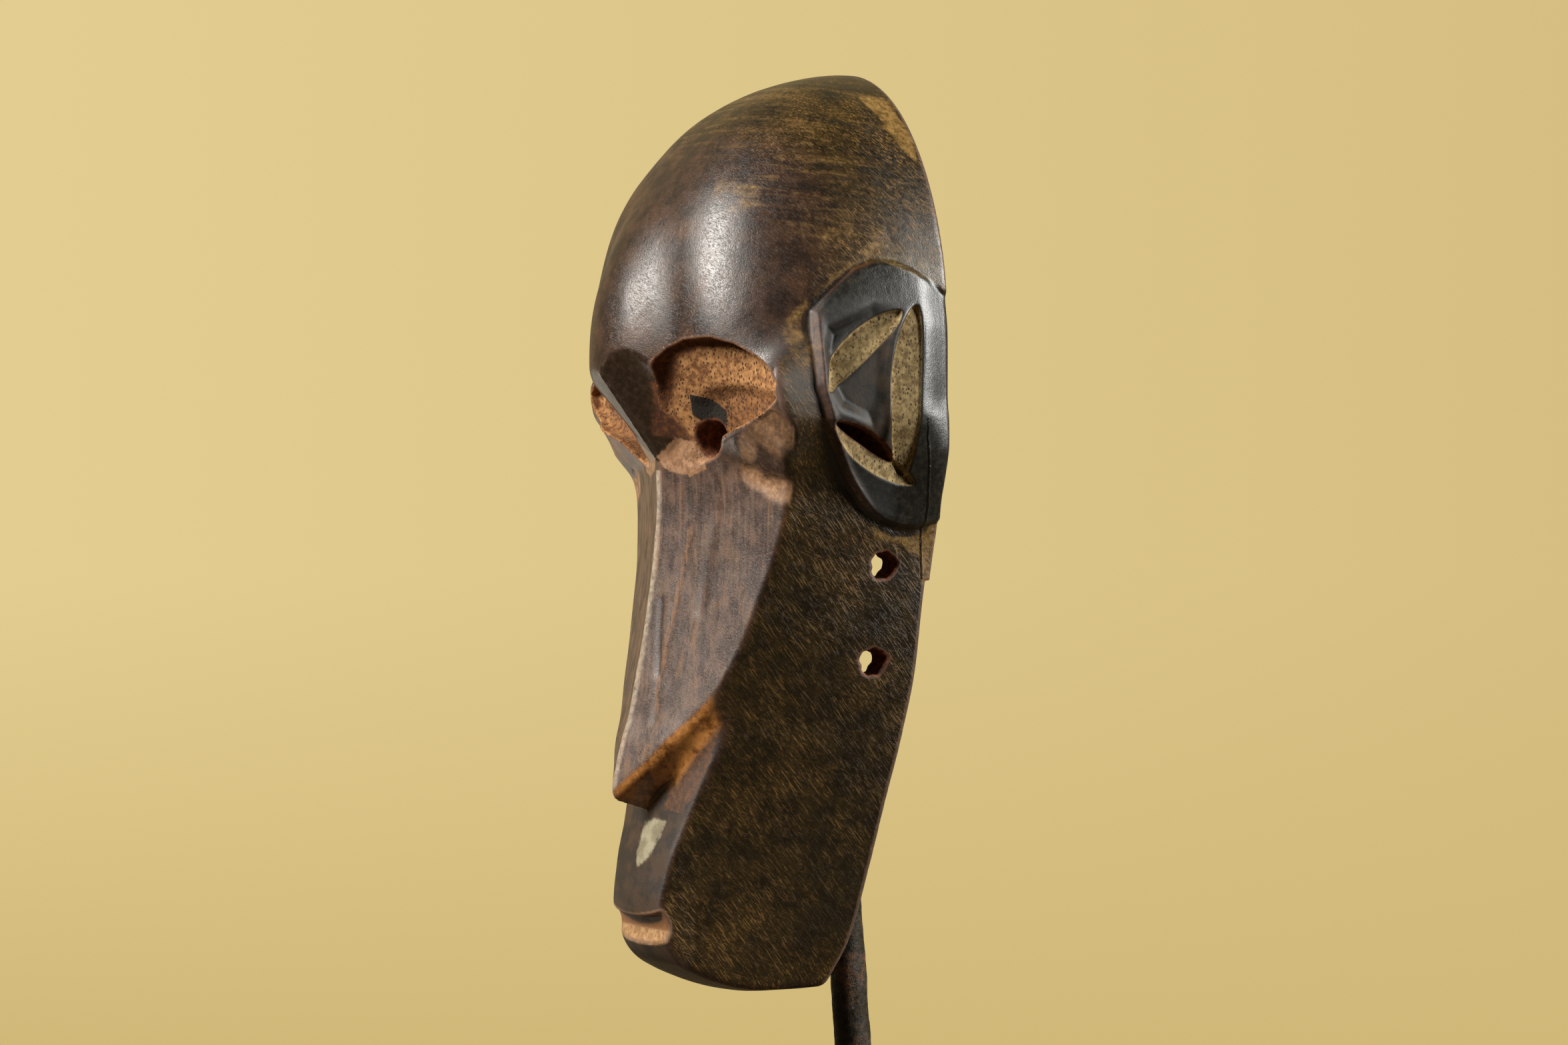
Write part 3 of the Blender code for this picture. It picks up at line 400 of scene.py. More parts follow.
def settle(form, points, rounds):
    """move points onto the form's zero level"""
    for _ in range(rounds):
        slope = gradient(form, points)
        move = form(*points.T) / np.maximum((slope * slope).sum(1), 0.25)
        points = points - 0.75 * np.clip(move, -0.3, 0.3)[:, None] * slope
    return points


def grid_mesh(form, low, high, voxel):
    """the form's zero level as points, quads and triangles"""
    xs, ys, zs = (np.arange(low[i], high[i] + voxel, voxel) for i in range(3))
    field = np.empty((len(xs), len(ys), len(zs)), np.float32)
    for k in range(0, len(zs), 16):
        layers = zs[None, None, k:k + 16]
        field[:, :, k:k + 16] = form(xs[:, None, None], ys[None, :, None], layers)
    grid = vdb.FloatGrid(background=5.0)
    grid.copyFromArray(field)
    grid.transform = vdb.createLinearTransform(voxel)
    points, tris, quads = grid.convertToPolygons(isovalue=0.0, adaptivity=0.0)
    points = points.astype(float) + np.array([xs[0], ys[0], zs[0]])
    return settle(form, points, 3), quads[:, ::-1], tris[:, ::-1]


def refine(form, points, quads, tris, zone):
    """halve the quads inside a zone and settle their new corners

    Faces at the zone's border gain middle points. Returns points, quads and other faces.
    """
    count = len(points)
    chosen = zone[quads].all(1)
    split, rest = quads[chosen], quads[~chosen]
    edges = np.concatenate([split[:, [i, (i + 1) % 4]] for i in range(4)])
    edges.sort(1)
    keys = np.unique(edges[:, 0].astype(np.int64) * count + edges[:, 1])
    middles = (points[keys // count] + points[keys % count]) / 2
    centres = points[split].mean(1)
    new = settle(form, np.concatenate([middles, centres]), 2)

    def edge_middles(faces):
        """index of the new point on each edge of the faces, or -1"""
        found = []
        for i in range(faces.shape[1]):
            a, b = faces[:, i], faces[:, (i + 1) % faces.shape[1]]
            key = np.minimum(a, b).astype(np.int64) * count + np.maximum(a, b)
            at = np.clip(np.searchsorted(keys, key), 0, len(keys) - 1)
            found.append(np.where(keys[at] == key, count + at, -1))
        return np.stack(found, 1)

    centre = count + len(middles) + np.arange(len(split))
    mids = edge_middles(split)
    small = np.concatenate([np.stack([split[:, i], mids[:, i], centre, mids[:, i - 1]], 1)
                            for i in range(4)])
    mids = edge_middles(rest)
    plain = (mids < 0).all(1)
    others = []
    for faces, between in ((rest[~plain], mids[~plain]), (tris, edge_middles(tris))):
        for face, middle in zip(faces.tolist(), between.tolist()):
            others.append([v for pair in zip(face, middle) for v in pair if v >= 0])
    return np.concatenate([points, new]), np.concatenate([rest[plain], small]), others


def mesh_object(name, points, faces):
    """a smooth-shaded object from points in mm"""
    mesh = bpy.data.meshes.new(name)
    mesh.from_pydata((points * 0.001).tolist(), [], [list(map(int, face)) for face in faces])
    mesh.validate()
    mesh.update()
    mesh.shade_smooth()
    ob = bpy.data.objects.new(name, mesh)
    SCENE.collection.objects.link(ob)
    return ob


def piece(ob, material, body, slot, *nodes):
    """give a piece its material and attach it to the body it moves with; the slot it stands for is
    not used
    """
    ob.data.materials.append(material)
    if nodes:
        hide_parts(*nodes)
    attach(ob, body)


# ================================================================ node helpers
def linear(red, green, blue):
    """a display colour, 0 to 255, as linear light"""
    shares = (c / 255 for c in (red, green, blue))
    return tuple(c / 12.92 if c <= 0.04045 else ((c + 0.055) / 1.055) ** 2.4
                 for c in shares) + (1.0,)


class Graph:
    """short names for building a node tree; colours are sockets or display colours"""

    def __init__(self, owner):
        owner.use_nodes = True
        self.tree = owner.node_tree
        self.coords = self.new("ShaderNodeTexCoord").outputs

    def new(self, kind, **props):
        node = self.tree.nodes.new(kind)
        for name, value in props.items():
            setattr(node, name, value)
        return node

    def put(self, socket, value):
        if isinstance(value, bpy.types.NodeSocket):
            self.tree.links.new(value, socket)
        else:
            socket.default_value = value

    def filled(self, node, **inputs):
        """set a node's inputs, named with _ for a space; returns its first output"""
        for name, value in inputs.items():
            self.put(node.inputs[name.replace("_", " ")], value)
        return node.outputs[0]

    def math(self, operation, a, b):
        node = self.new("ShaderNodeMath", operation=operation)
        self.put(node.inputs[0], a)
        self.put(node.inputs[1], b)
        return node.outputs[0]

    def add(self, a, b):
        return self.math("ADD", a, b)

    def sub(self, a, b):
        return self.math("SUBTRACT", a, b)

    def mul(self, a, b):
        return self.math("MULTIPLY", a, b)

    def top(self, a, b):
        return self.math("MAXIMUM", a, b)

    def weigh(self, a, a_share, b, b_share):
        return self.add(self.mul(a, a_share), self.mul(b, b_share))

    def span(self, value, low, high, start=0.0, end=1.0, kind="LINEAR"):
        """map low..high to start..end"""
        node = self.new("ShaderNodeMapRange", interpolation_type=kind)
        return self.filled(node, Value=value, From_Min=low, From_Max=high,
                           To_Min=start, To_Max=end)

    def step(self, value, low, high, start=0.0, end=1.0):
        """the same, eased at both ends"""
        return self.span(value, low, high, start, end, "SMOOTHSTEP")

    def broken(self, value, noise, amount, low=0.36, high=0.64):
        """a zone whose rim is broken up by an amount of noise"""
        rough = self.add(value, self.mul(self.sub(noise, 0.5), amount))
        return self.step(rough, low, high)

    def vec(self, vector, scale, rot_x=0, loc=(0, 0, 0)):
        """turn a vector round X by degrees, then scale and shift it"""
        if rot_x:
            node = self.new("ShaderNodeVectorRotate", rotation_type="EULER_XYZ")
            vector = self.filled(node, Vector=vector, Rotation=(math.radians(rot_x), 0, 0))
        return self.filled(self.new("ShaderNodeMapping"), Vector=vector, Scale=scale,
                           Location=loc)

    def millimetres(self, loc=(0, 0, 0)):
        return self.vec(self.coords["Object"], (1000, 1000, 1000), loc=loc)

    def noise(self, vector, scale=1.0, detail=3.0, rough=0.5, distort=0.0):
        node = self.new("ShaderNodeTexNoise")
        self.filled(node, Vector=vector, Scale=scale, Detail=detail, Roughness=rough,
                    Distortion=distort)
        return node.outputs["Fac"]

    def cells(self, vector, scale, feature="F1"):
        node = self.new("ShaderNodeTexVoronoi", feature=feature)
        self.filled(node, Vector=vector, Scale=scale)
        return node.outputs["Distance"]

    def mix(self, factor, a, b):
        node = self.new("ShaderNodeMix", data_type="RGBA", clamp_factor=True)
        self.put(node.inputs["Factor"], factor)
        for i, colour in ((6, a), (7, b)):
            self.put(node.inputs[i], linear(*colour) if isinstance(colour, tuple) else colour)
        return node.outputs[2]

    def mottle(self, noise, low, high, dark, light):
        """two colours, parted where the noise goes from low to high"""
        return self.mix(self.step(noise, low, high), dark, light)

    def coat(self, base, where, paint, strength=None):
        """a colour laid over the base"""
        return self.mix(where if strength is None else self.mul(where, strength), base, paint)

    def shift(self, base, where, value, strength=None):
        """a plain value laid over the base"""
        node = self.new("ShaderNodeMix", data_type="FLOAT", clamp_factor=True)
        self.put(node.inputs["Factor"],
                 where if strength is None else self.mul(where, strength))
        self.put(node.inputs[2], base)
        self.put(node.inputs[3], value)
        return node.outputs[0]

    def cut(self, height, where, depth):
        return self.add(height, self.mul(self.sub(0.0, where), depth))

    def bump(self, height, distance, strength):
        return self.filled(self.new("ShaderNodeBump"), Height=height, Distance=distance,
                           Strength=strength)


class Material(Graph):
    def __init__(self, name):
        self.material = bpy.data.materials.new(name)
        super().__init__(self.material)

    def finish(self, **inputs):
        self.filled(self.tree.nodes["Principled BSDF"], **inputs)
        return self.material


# ================================================================ the mask's mesh
FAR = 999
# boxes that get the finer mesh: low and high corner in side, y, z
DETAIL_BOXES = (((36, -7, 119), (FAR, FAR, 192)), ((-FAR, -FAR, 134), (57, -6, 173)),
                ((-FAR, -FAR, -FAR), (FAR, -17, 27)), ((-FAR, -FAR, 45), (FAR, -12, 76)),
                ((34, 13, 81), (FAR, 34.5, 119)))

points, quads, others = grid_mesh(mask_form, GRID_LOW, GRID_HIGH, VOXEL)
place = np.stack([np.abs(points[:, 0]), points[:, 1], points[:, 2]], 1)
detail = np.any([((place > low) & (place < high)).all(1) for low, high in DETAIL_BOXES], 0)
detail &= hollow(*place.T) > 3.0
points, quads, others = refine(mask_form, points, quads, others, detail)
normals = gradient(mask_form, points, 0.4)
normals /= np.maximum(np.linalg.norm(normals, axis=1), 1e-6)[:, None]
edge_curve = curvature(mask_form, points, 1.1)
broad_curve = curvature(mask_form, points, 2.6)

# ================================================================ regions of the surface, 0 to 1
x, y, z = points.T
side = np.abs(x)


def on_face(distance, far=1.2, close=0.4):
    """1 close to a form's surface, 0 far from it"""
    return ramp(far, close, np.abs(distance))


hollow_skin = (ramp(-0.9, -0.2, -hollow(side, y, z))
               * ramp(-0.3, -1.2, outside(x, y, z)))        # the hollow's own surface
in_hole = ramp(-0.7, -0.25, -pierced(x, y, z))
skin = 1.0 - np.maximum(hollow_skin, in_hole)
facing = -normals[:, 1]
frontal = ramp(0.15, 0.5, facing)
off_wall = ramp(-0.35, -1.1, wall_form(side, y, np.minimum(z, WALL_TOP)))
slab_sd = slab_form(side, y, z)
socket_sd = polygon(side, z, SOCKET)
bowl_sd = polygon(side, z, BOWL)
socket = on_face(eye_socket(side, y, z)) * (y < -2) * skin * (socket_sd < 0.6)
slab_skin = on_face(slab_sd) * skin * ramp(166, 160, z) * (1 - socket)
under_nose = (on_face(slab_foot(side, y, z) * 0.62, 1.6, 0.5) * (side < 28) * (z < 80)
              * (slab_sd > -1.5) * skin * off_wall)
glabella = (on_face(brow_cut(x, y, z)) * (side < 18) * (z > 138.5) * (z < 167) * skin
            * (1 - socket))
slab = (skin * frontal * off_wall * (1 - under_nose) * (1 - socket) * (1 - glabella)
        * ramp(157, 151, z) * np.maximum(on_face(slab_sd), ramp(128, 132, z)))
lip = on_face(mouth_scoop(side, y, z), 1.0, 0.3) * (z < 26) * (y < -18) * skin
muzzle = (skin * (1 - slab_skin) * (z < 72) * ramp(0.55, 0.75, facing) * off_wall
          * (side < 27) * (1 - lip))
on_side = side > 38
ear_sd = np.where(on_side, polygon(y, z, EAR), 12.0)
leaves_sd = np.where(on_side, np.minimum.reduce([leaf(y, z, *row[:4]) for row in EAR_LEAVES]), 9.0)
crescent_sd = np.where(on_side, leaf(y, z, *CRESCENT), 9.0)
slot_sd = np.where(on_side, leaf(y, z, *EAR_SLOT), 9.0)
front_of_face = frontal * (1 - socket)
rear = ramp(0.62, 0.86, normals[:, 1])                      # the plain back face of the rim

# ================================================================ knife marks
# grooves on the slab: side, z
GROOVE = [(11.5, 121), (9.6, 108), (8.4, 96), (8.0, 88), (7.6, 80), (9.0, 72)]
SLIT = [(4.4, 103), (5.2, 95), (7.0, 84)]
OUTER_GROOVE = [(20, 126), (18, 112), (17.4, 100)]
# chips on the +X and -X side: centre side, z, both radii, turn in degrees, depth
CHIPS = {1: ((48.6, 145.0, 6.0, 5.4, 62, 0.75), (34.2, 134.0, 3.4, 4.6, 75, 0.6),
             (41.6, 131.0, 3.6, 7.0, 80, 0.7), (36.8, 141.0, 3.4, 3.0, 40, 0.4)),
         -1: ((46.6, 146.0, 6.0, 4.6, 55, 0.7), (37.0, 133.0, 4.0, 5.4, 70, 0.6))}


def ellipse_place(u, v, centre_u, centre_v, radius_u, radius_v, degrees):
    """coordinates in which a turned ellipse is the unit circle"""
    cos, sin = math.cos(math.radians(degrees)), math.sin(math.radians(degrees))
    return (((u - centre_u) * cos + (v - centre_v) * sin) / radius_u,
            (-(u - centre_u) * sin + (v - centre_v) * cos) / radius_v)


def blob(u, v, *ellipse):
    """an elliptical patch, 1 inside and fading at its rim"""
    p, q = ellipse_place(u, v, *ellipse)
    return ramp(1.3, 0.7, np.sqrt(p * p + q * q))


def chip(*ellipse, depth):
    """a shallow flake: deepest towards one side, where its rim is crisp"""
    p, q = ellipse_place(side, z, *ellipse)
    return (-depth * np.clip(1 - (p * p + q * q), 0, 1) ** 0.7
            * (0.55 + 0.45 * np.clip(p + 0.4, -1, 1.4)))


groove = polyline(side, z, GROOVE)
slit = polyline(side, z, SLIT)
calm = ramp(0.55, 0.2, np.abs(edge_curve)) * skin           # away from the sharp edges
uneven = (0.20 * fbm(points, 17.0, 3, 2)
          + 0.11 * fbm(points, 6.5, 9, 2, stretch=(1, 1, 1.5)))
carve = uneven * (0.2 + 0.8 * calm) * (1 - 0.8 * in_hole)
carve += (-0.10 * np.clip(fbm(points, 2.6, 21, 2), 0, 1)
          * np.maximum(socket, ramp(0.4, -0.4, leaves_sd)))
for sign, rows in CHIPS.items():
    carve += front_of_face * (x * sign > 0) * sum(chip(*row[:5], depth=row[5]) for row in rows)
carve += -0.16 * bell(groove, 0, 1.4) * slab
carve += -0.3 * bell(slit, 0, 0.8) * slab * (x > 0)
carve += -0.30 * bell(polyline(side, z, OUTER_GROOVE), 0, 1.6) * slab

# ================================================================ painted zones
# outlines from the front: side, z (GLOSS_HIGHLIGHT_PATCH: x, z)
DIAMOND = [(19.4, 155.4), (23.2, 154.2), (26.4, 150.8), (24.6, 147.4), (20.4, 146.6),
           (17.8, 150.2)]
PINK = [(0.6, 139.4), (4, 136.2), (12, 134.6), (17.5, 136.4), (17, 140), (14.2, 143.4),
        (9, 144.4), (6, 142.8), (2.4, 140.6)]
INNER_WALL = [(12.8, 159), (3.7, 145.2), (9, 144.8), (14.6, 143.4), (18.5, 149), (18, 158)]
MUZZLE_ORANGE = [(9, 57), (17, 66), (25, 73), (23, 63), (19.5, 54), (15, 48.5), (8, 49)]
# outline of the muzzle's glossy patch, painted pale as a highlight
GLOSS_HIGHLIGHT_PATCH = [(-1, 46), (5, 47), (11, 46.5), (9.8, 42), (7.4, 37.5), (4, 34.0), (0.5, 33.6),
         (-1.5, 38)]
# outlines from the side: y, z
PYRAMID = [(-1, 155), (6, 160), (19, 176), (19.6, 150), (20, 137), (12, 143), (2, 148)]
OCHRE_LOBE = [(16, 121.5), (22, 119.0), (27, 119.2), (30, 122), (36, 123), (36, 106),
              (30.6, 107), (29.6, 114), (24, 117), (17, 118.5)]
OCHRE_CROWN = [(23.5, 233), (30.5, 233), (33.0, 222), (31.5, 214), (28.0, 219), (25.5, 226)]
# worn patches: the ellipse as for a chip
SCOOPS = ((1.0, (48.4, 145.2, 6.0, 5.6, 62)), (1.0, (34.0, 134.2, 3.2, 4.6, 75)),
          (1.0, (41.4, 131.4, 3.4, 6.8, 80)), (0.8, (38, 141.6, 4.6, 2.6, 35)))
# streaks: strength, width, line in side and z
STREAKS = ((0.8, 1.0, [(13, 120), (16, 106)]), (0.75, 2.0, [(10.5, 70), (9.0, 64)]),
           (0.7, 1.2, [(27.5, 136), (25, 122), (24.6, 118)]))

ochre = (0.12 * ramp(200, 220, z) * ramp(-14, 4, y)
         + 0.55 * on_side * ramp(0.3, 1.0, ear_sd) * ramp(5.5, 1.5, ear_sd)
         * ramp(172, 178, z) * (y < 20)
         + on_side * ramp(1.2, -1.2, polygon(y, z, OCHRE_LOBE))
         + 0.9 * ramp(1.2, -1.2, polygon(y, z, OCHRE_CROWN)) * (side > 10)
         + 0.55 * on_side * blob(y, z, -7, 168, 5, 8, 0)
         + 0.5 * blob(y, z, -14, 206, 7, 5, 20) * (side > 25)
         + 0.45 * blob(y, z, 10, 196, 12, 5, 0) * (side > 25))
bluish = (on_side * (0.9 * ramp(0.5, -1.0, ear_sd)
                     + 0.5 * ramp(7, 2, ear_sd) * ramp(128, 118, z))
          + 0.5 * blob(y, z, 24, 212, 9, 20, 0) * (side > 20))
streaks = [bell(groove, 0, 1.5) * ramp(70, 76, z)]
streaks += [strength * bell(polyline(side, z, line), 0, width)
            for strength, width, line in STREAKS]

# most are 0 to 1; ear, leaf, crescent, slot and crack are distances in mm
zones = {
    "skin": skin,
    "inner": hollow_skin,
    "hole": in_hole,
    # lighter paint on convex edges: wear and a painted highlight
    "edge": (np.clip(edge_curve * 1.5 - 0.15, 0, 1) * (1 - hollow_skin)
             * (1 - 0.85 * (ear_sd < 1.5)) * (1 - 0.7 * muzzle)),
    # painted shade at the top of the lip scoop, under the upper lip's overhang
    "lip_top_shade": lip * ramp(16.0, 20.5, z),
    # darker paint in concave creases: dirt and painted shade
    "crease": (np.clip(-broad_curve * 2.6 - 0.05, 0, 1)
               * (1 - 0.85 * ramp(1.2, 0.2, leaves_sd)) * (1 - 0.6 * socket)),
    "front": (ramp(0.05, 0.70, facing + 0.22 * ramp(120, 185, z) - 0.12)
              * (1 - 0.6 * ramp(206, 226, z) * ramp(-22, -6, y))),
    "socket": socket,
    # painted shade: the steep socket wall darkened, most towards the nose and under the brow
    "wall": socket * ramp(-3.2, -0.9, socket_sd) * (
        0.35 + 0.65 * ramp(30, 14, side) * ramp(139, 146, z) + 0.5 * ramp(164, 168, z)),
    "bowl": socket * ramp(0.6, -1.2, bowl_sd),
    "diamond": socket * ramp(0.35, -0.35, polygon(side, z, DIAMOND)),
    "pink": ramp(1.8, -1.6, polygon(side, z, PINK)) * skin,
    "slab": slab,
    "scoop": front_of_face * skin * np.maximum.reduce(
        [strength * blob(side, z, *ellipse) for strength, ellipse in SCOOPS]),
    "streak": slab * np.maximum.reduce(streaks),
    # painted shade: the socket's inner lower wall in the darkened wall colour
    "inner_wall_shade": (ramp(0.9, -0.7, polygon(side, z, INNER_WALL)) * skin * (y < -2)
                   * (side > 3.2)),
    # a thin painted highlight along the nose ridge
    "painted_ridge_highlight": slab * ramp(1.9, 0.5, side) * (z < 136),
    "temple": on_side * np.maximum(
        blob(y, z, -8.5, 155, 7, 17, 0),
        ramp(0.5, -0.5, ear_sd) * ramp(22, 17, y) * ramp(181, 175, z)),
    "gloss": on_side * ramp(0.0, -1.0, ear_sd) * np.maximum(ramp(21, 25, y), ramp(176, 182, z)),
    "slit": slab * (x > 0) * bell(slit, 0, 0.7),
    "under": under_nose,
    "glabella": glabella,
    "muzzle": muzzle,
    "muzzle_orange": muzzle * ramp(1.5, -1.5, polygon(side, z, MUZZLE_ORANGE)),
    # the muzzle's glossy patch: low roughness and a painted highlight
    "gloss_and_painted_highlight": muzzle * (x > -2) * ramp(1.6, -2.2, polygon(x, z, GLOSS_HIGHLIGHT_PATCH)),
    "lip": lip,
    "ear": np.clip(ear_sd, -6, 12),
    "leaf": np.clip(leaves_sd, -4, 9),
    "crescent": np.clip(crescent_sd, -4, 9),
    "slot": np.clip(slot_sd, -3, 9),
    "ear_ridge": (on_side * bell(y, curve(z, EAR_FRONT) + 0.5, 1.5)
                  * ramp(122.0, 128.0, z) * ramp(178.0, 173.0, z)),
    "pyramid": on_side * ramp(1.0, -2.0, polygon(y, z, PYRAMID)),
    "ochre": np.clip(ochre, 0, 1) * (1 - rear),
    "bluish": np.clip(bluish, 0, 1) * (1 - rear),
    "crack": np.where(x > 38, polyline(y, z, CRACK), 9.0),
    "bands": ramp(190, 205, z) * ramp(-22, -6, y) * skin,
}
mask = mesh_object("mask_body_carved", points + normals * carve[:, None] + MASK_ORIGIN,
                   [*quads, *others])
for name, values in zones.items():
    layer = mask.data.attributes.new(name, "FLOAT", "POINT")
    layer.data.foreach_set("value", np.ascontiguousarray(values, np.float32))

# ================================================================ the mask's wood
# step, mottle and span are given the noise levels between which they change
mat = Material("carved_wood_patina")
mm = mat.millimetres(loc=tuple(-MASK_ORIGIN))
zone = {name: mat.new("ShaderNodeAttribute", attribute_name=name).outputs["Fac"]
        for name in zones if name != "skin"}

# noises; scales are per mm, and a small z scale draws them out upright
grain = mat.noise(mat.vec(mm, (1.3, 1.3, 0.10)), detail=4, rough=0.62)
long_grain = mat.noise(mat.vec(mm, (0.42, 0.42, 0.025)), rough=0.55, distort=0.4)
veins = mat.noise(mat.vec(mm, (0.5, 0.5, 0.05), loc=(7, 3, 1)), detail=4, rough=0.6, distort=0.5)
big = mat.noise(mm, 0.045, detail=5, rough=0.62)
mid = mat.noise(mm, 0.16, detail=5, rough=0.66)
fine = mat.noise(mm, 0.62, detail=5, rough=0.68)
micro = mat.noise(mm, 2.6, rough=0.6)
scratch_a = mat.noise(mat.vec(mm, (1.1, 3.3, 0.24), rot_x=-38), rough=0.7)
scratch_b = mat.noise(mat.vec(mm, (1.1, 3.9, 0.28), rot_x=-66), rough=0.7)
bands = mat.noise(mat.vec(mm, (0.05, 0.05, 0.62), rot_x=8), detail=5, rough=0.62, distort=0.25)

# ground tones: warm brown on the face, olive black on the sides
face = mat.mottle(mid, 0.38, 0.64, (36, 23, 16), (60, 41, 29))
face = mat.coat(face, mat.step(big, 0.50, 0.68), (84, 54, 32), 0.55)
sides = mat.mottle(mid, 0.34, 0.66, (27, 19, 6), (51, 38, 15))
sides = mat.coat(sides, mat.step(big, 0.46, 0.64), (64, 48, 24), 0.4)
worn = mat.mul(mat.step(fine, 0.52, 0.70), mat.span(big, 0.40, 0.60, 0.3, 1.0))
sides = mat.coat(sides, worn, (86, 62, 33), 0.5)
sides = mat.coat(sides, mat.step(fine, 0.48, 0.36), (17, 12, 7), 0.5)
color = mat.mix(mat.broken(zone["front"], mid, 0.5, 0.2, 0.8), sides, face)

# the banded crown, bluish and ochre patches
band = mat.mul(mat.step(bands, 0.50, 0.66), zone["bands"])
color = mat.coat(color, mat.mul(band, mat.step(fine, 0.36, 0.60)), (112, 86, 48), 0.6)
band = mat.mul(mat.step(bands, 0.48, 0.36), zone["bands"])
color = mat.coat(color, band, (20, 19, 14), 0.8)
paint = mat.mottle(fine, 0.4, 0.7, (21, 22, 21), (44, 44, 38))
color = mat.coat(color, mat.broken(zone["bluish"], mid, 0.8), paint, 0.85)
paint = mat.mottle(fine, 0.38, 0.66, (92, 68, 32), (150, 118, 66))
patchy = mat.weigh(mid, 0.6, bands, 0.4)
color = mat.coat(color, mat.broken(zone["ochre"], patchy, 2.2, 0.40, 0.90), paint, 0.8)

# fine diagonal scratches that lay the ochre wood bare, off the ears
scratch = mat.top(mat.step(scratch_a, 0.54, 0.64), mat.mul(mat.step(scratch_b, 0.57, 0.68), 0.8))
scratch = mat.mul(scratch, mat.step(zone["ear"], -0.3, 0.8))
amount = mat.span(mat.weigh(big, 0.6, mid, 0.4), 0.42, 0.58, 0.12, 0.95)
where = mat.mul(mat.mul(scratch, mat.sub(1.0, zone["front"])), amount)
color = mat.coat(color, where, (142, 104, 48))
color = mat.coat(color, mat.step(grain, 0.55, 0.74), (16, 11, 7), 0.35)
color = mat.coat(color, mat.mul(mat.step(fine, 0.63, 0.78), zone["front"]), (150, 96, 62), 0.5)

# the slab: mauve with long grain streaks, and a painted highlight along the nose ridge
tone = mat.mottle(mat.weigh(long_grain, 0.35, mid, 0.65), 0.40, 0.60, (50, 35, 29), (84, 63, 52))
tone = mat.mix(mat.mul(mat.step(grain, 0.44, 0.62), mat.span(mid, 0.40, 0.60, 0.05, 0.45)),
               tone, (98, 75, 64))
where = mat.broken(zone["streak"], mat.weigh(grain, 0.5, fine, 0.5), 3.0, 0.55, 1.2)
# painted highlight along the nose ridge, broken by noise
ridge_highlight_mask = mat.mul(zone["painted_ridge_highlight"], mat.span(fine, 0.35, 0.6, 0.3, 1.0))
for where, paint, strength in (
        (mat.step(scratch_b, 0.55, 0.66), (122, 96, 80), 0.45),
        (mat.step(long_grain, 0.56, 0.68), (112, 80, 50), 0.6),
        (mat.step(veins, 0.54, 0.64), (58, 50, 38), 0.45),
        (where, (128, 88, 54), 0.6),
        (mat.step(mid, 0.56, 0.70), (104, 82, 58), 0.35),
        (zone["slit"], (34, 20, 16), 0.9),
        # painted highlight: pale line on the nose ridge
        (ridge_highlight_mask, (176, 160, 140), 0.8)):
    tone = mat.coat(tone, where, paint, strength)
color = mat.coat(color, zone["slab"], tone)
paint = mat.mottle(fine, 0.4, 0.66, (132, 96, 66), (176, 136, 100))
where = mat.mul(zone["scoop"], mat.span(mid, 0.36, 0.56, 0.5, 1.0))
color = mat.coat(color, where, paint, 0.82)

# glabella, inner walls with painted shade, muzzle with a painted highlight on its glossy patch,
# underside of the nose, and lips with painted shade under the upper lip
# painted highlight on the muzzle's glossy patch
gloss_and_painted_highlight = mat.broken(zone["gloss_and_painted_highlight"], mat.weigh(fine, 0.6, mid, 0.4), 1.8, 0.42, 0.9)
mid_fine = mat.weigh(mid, 0.6, fine, 0.4)
# where, strength, noise, its levels, dark, light
for where, strength, noise, low, high, dark, light in (
        (zone["glabella"], None, fine, 0.4, 0.7, (40, 27, 18), (62, 44, 32)),
        # painted shade on the socket's inner lower wall
        (zone["inner_wall_shade"], None, fine, 0.4, 0.66, (66, 34, 9), (112, 64, 24)),
        (zone["muzzle"], None, mid, 0.38, 0.62, (30, 19, 9), (58, 40, 22)),
        (mat.broken(zone["muzzle_orange"], fine, 1.0), 0.8, fine, 0.4, 0.66,
         (62, 36, 15), (96, 60, 30)),
        # painted highlight: the glossy patch in a pale colour
        (gloss_and_painted_highlight, 0.85, mid, 0.4, 0.62, (128, 120, 98), (158, 151, 128)),
        (zone["under"], None, mid_fine, 0.40, 0.60, (100, 58, 20), (176, 118, 60)),
        (zone["lip"], None, fine, 0.36, 0.66, (130, 94, 58), (174, 136, 96))):
    color = mat.coat(color, where, mat.mottle(noise, low, high, dark, light), strength)
# painted shade under the upper lip, darker orange-brown
color = mat.coat(color, mat.broken(zone["lip_top_shade"], fine, 0.8), (104, 62, 28), 0.8)

# eye sockets: raw orange wood, open pores, walls darkened with painted shade
pore = mat.mul(mat.step(mat.cells(mat.vec(mm, (1, 1, 0.6)), 1.15), 0.38, 0.22),
               mat.step(mat.weigh(mid, 0.55, fine, 0.45), 0.40, 0.52))
raw = mat.mottle(mat.weigh(fine, 0.65, mid, 0.35), 0.38, 0.60, (96, 54, 18), (172, 124, 74))
raw = mat.coat(raw, zone["bowl"], mat.mottle(fine, 0.36, 0.66, (72, 40, 14), (126, 80, 36)), 0.75)
raw = mat.coat(raw, pore, (46, 22, 8), 0.85)
# painted shade on the steep socket walls
raw = mat.coat(raw, mat.broken(zone["wall"], fine, 0.8, 0.2, 1.0),
               mat.mottle(fine, 0.4, 0.66, (70, 36, 8), (116, 66, 24)))
raw = mat.coat(raw, mat.broken(zone["diamond"], fine, 0.4), (30, 23, 15))
color = mat.coat(color, zone["socket"], raw)
paint = mat.mottle(fine, 0.36, 0.66, (122, 86, 58), (156, 120, 90))
color = mat.coat(color, mat.broken(zone["pink"], fine, 0.7), paint, 0.9)

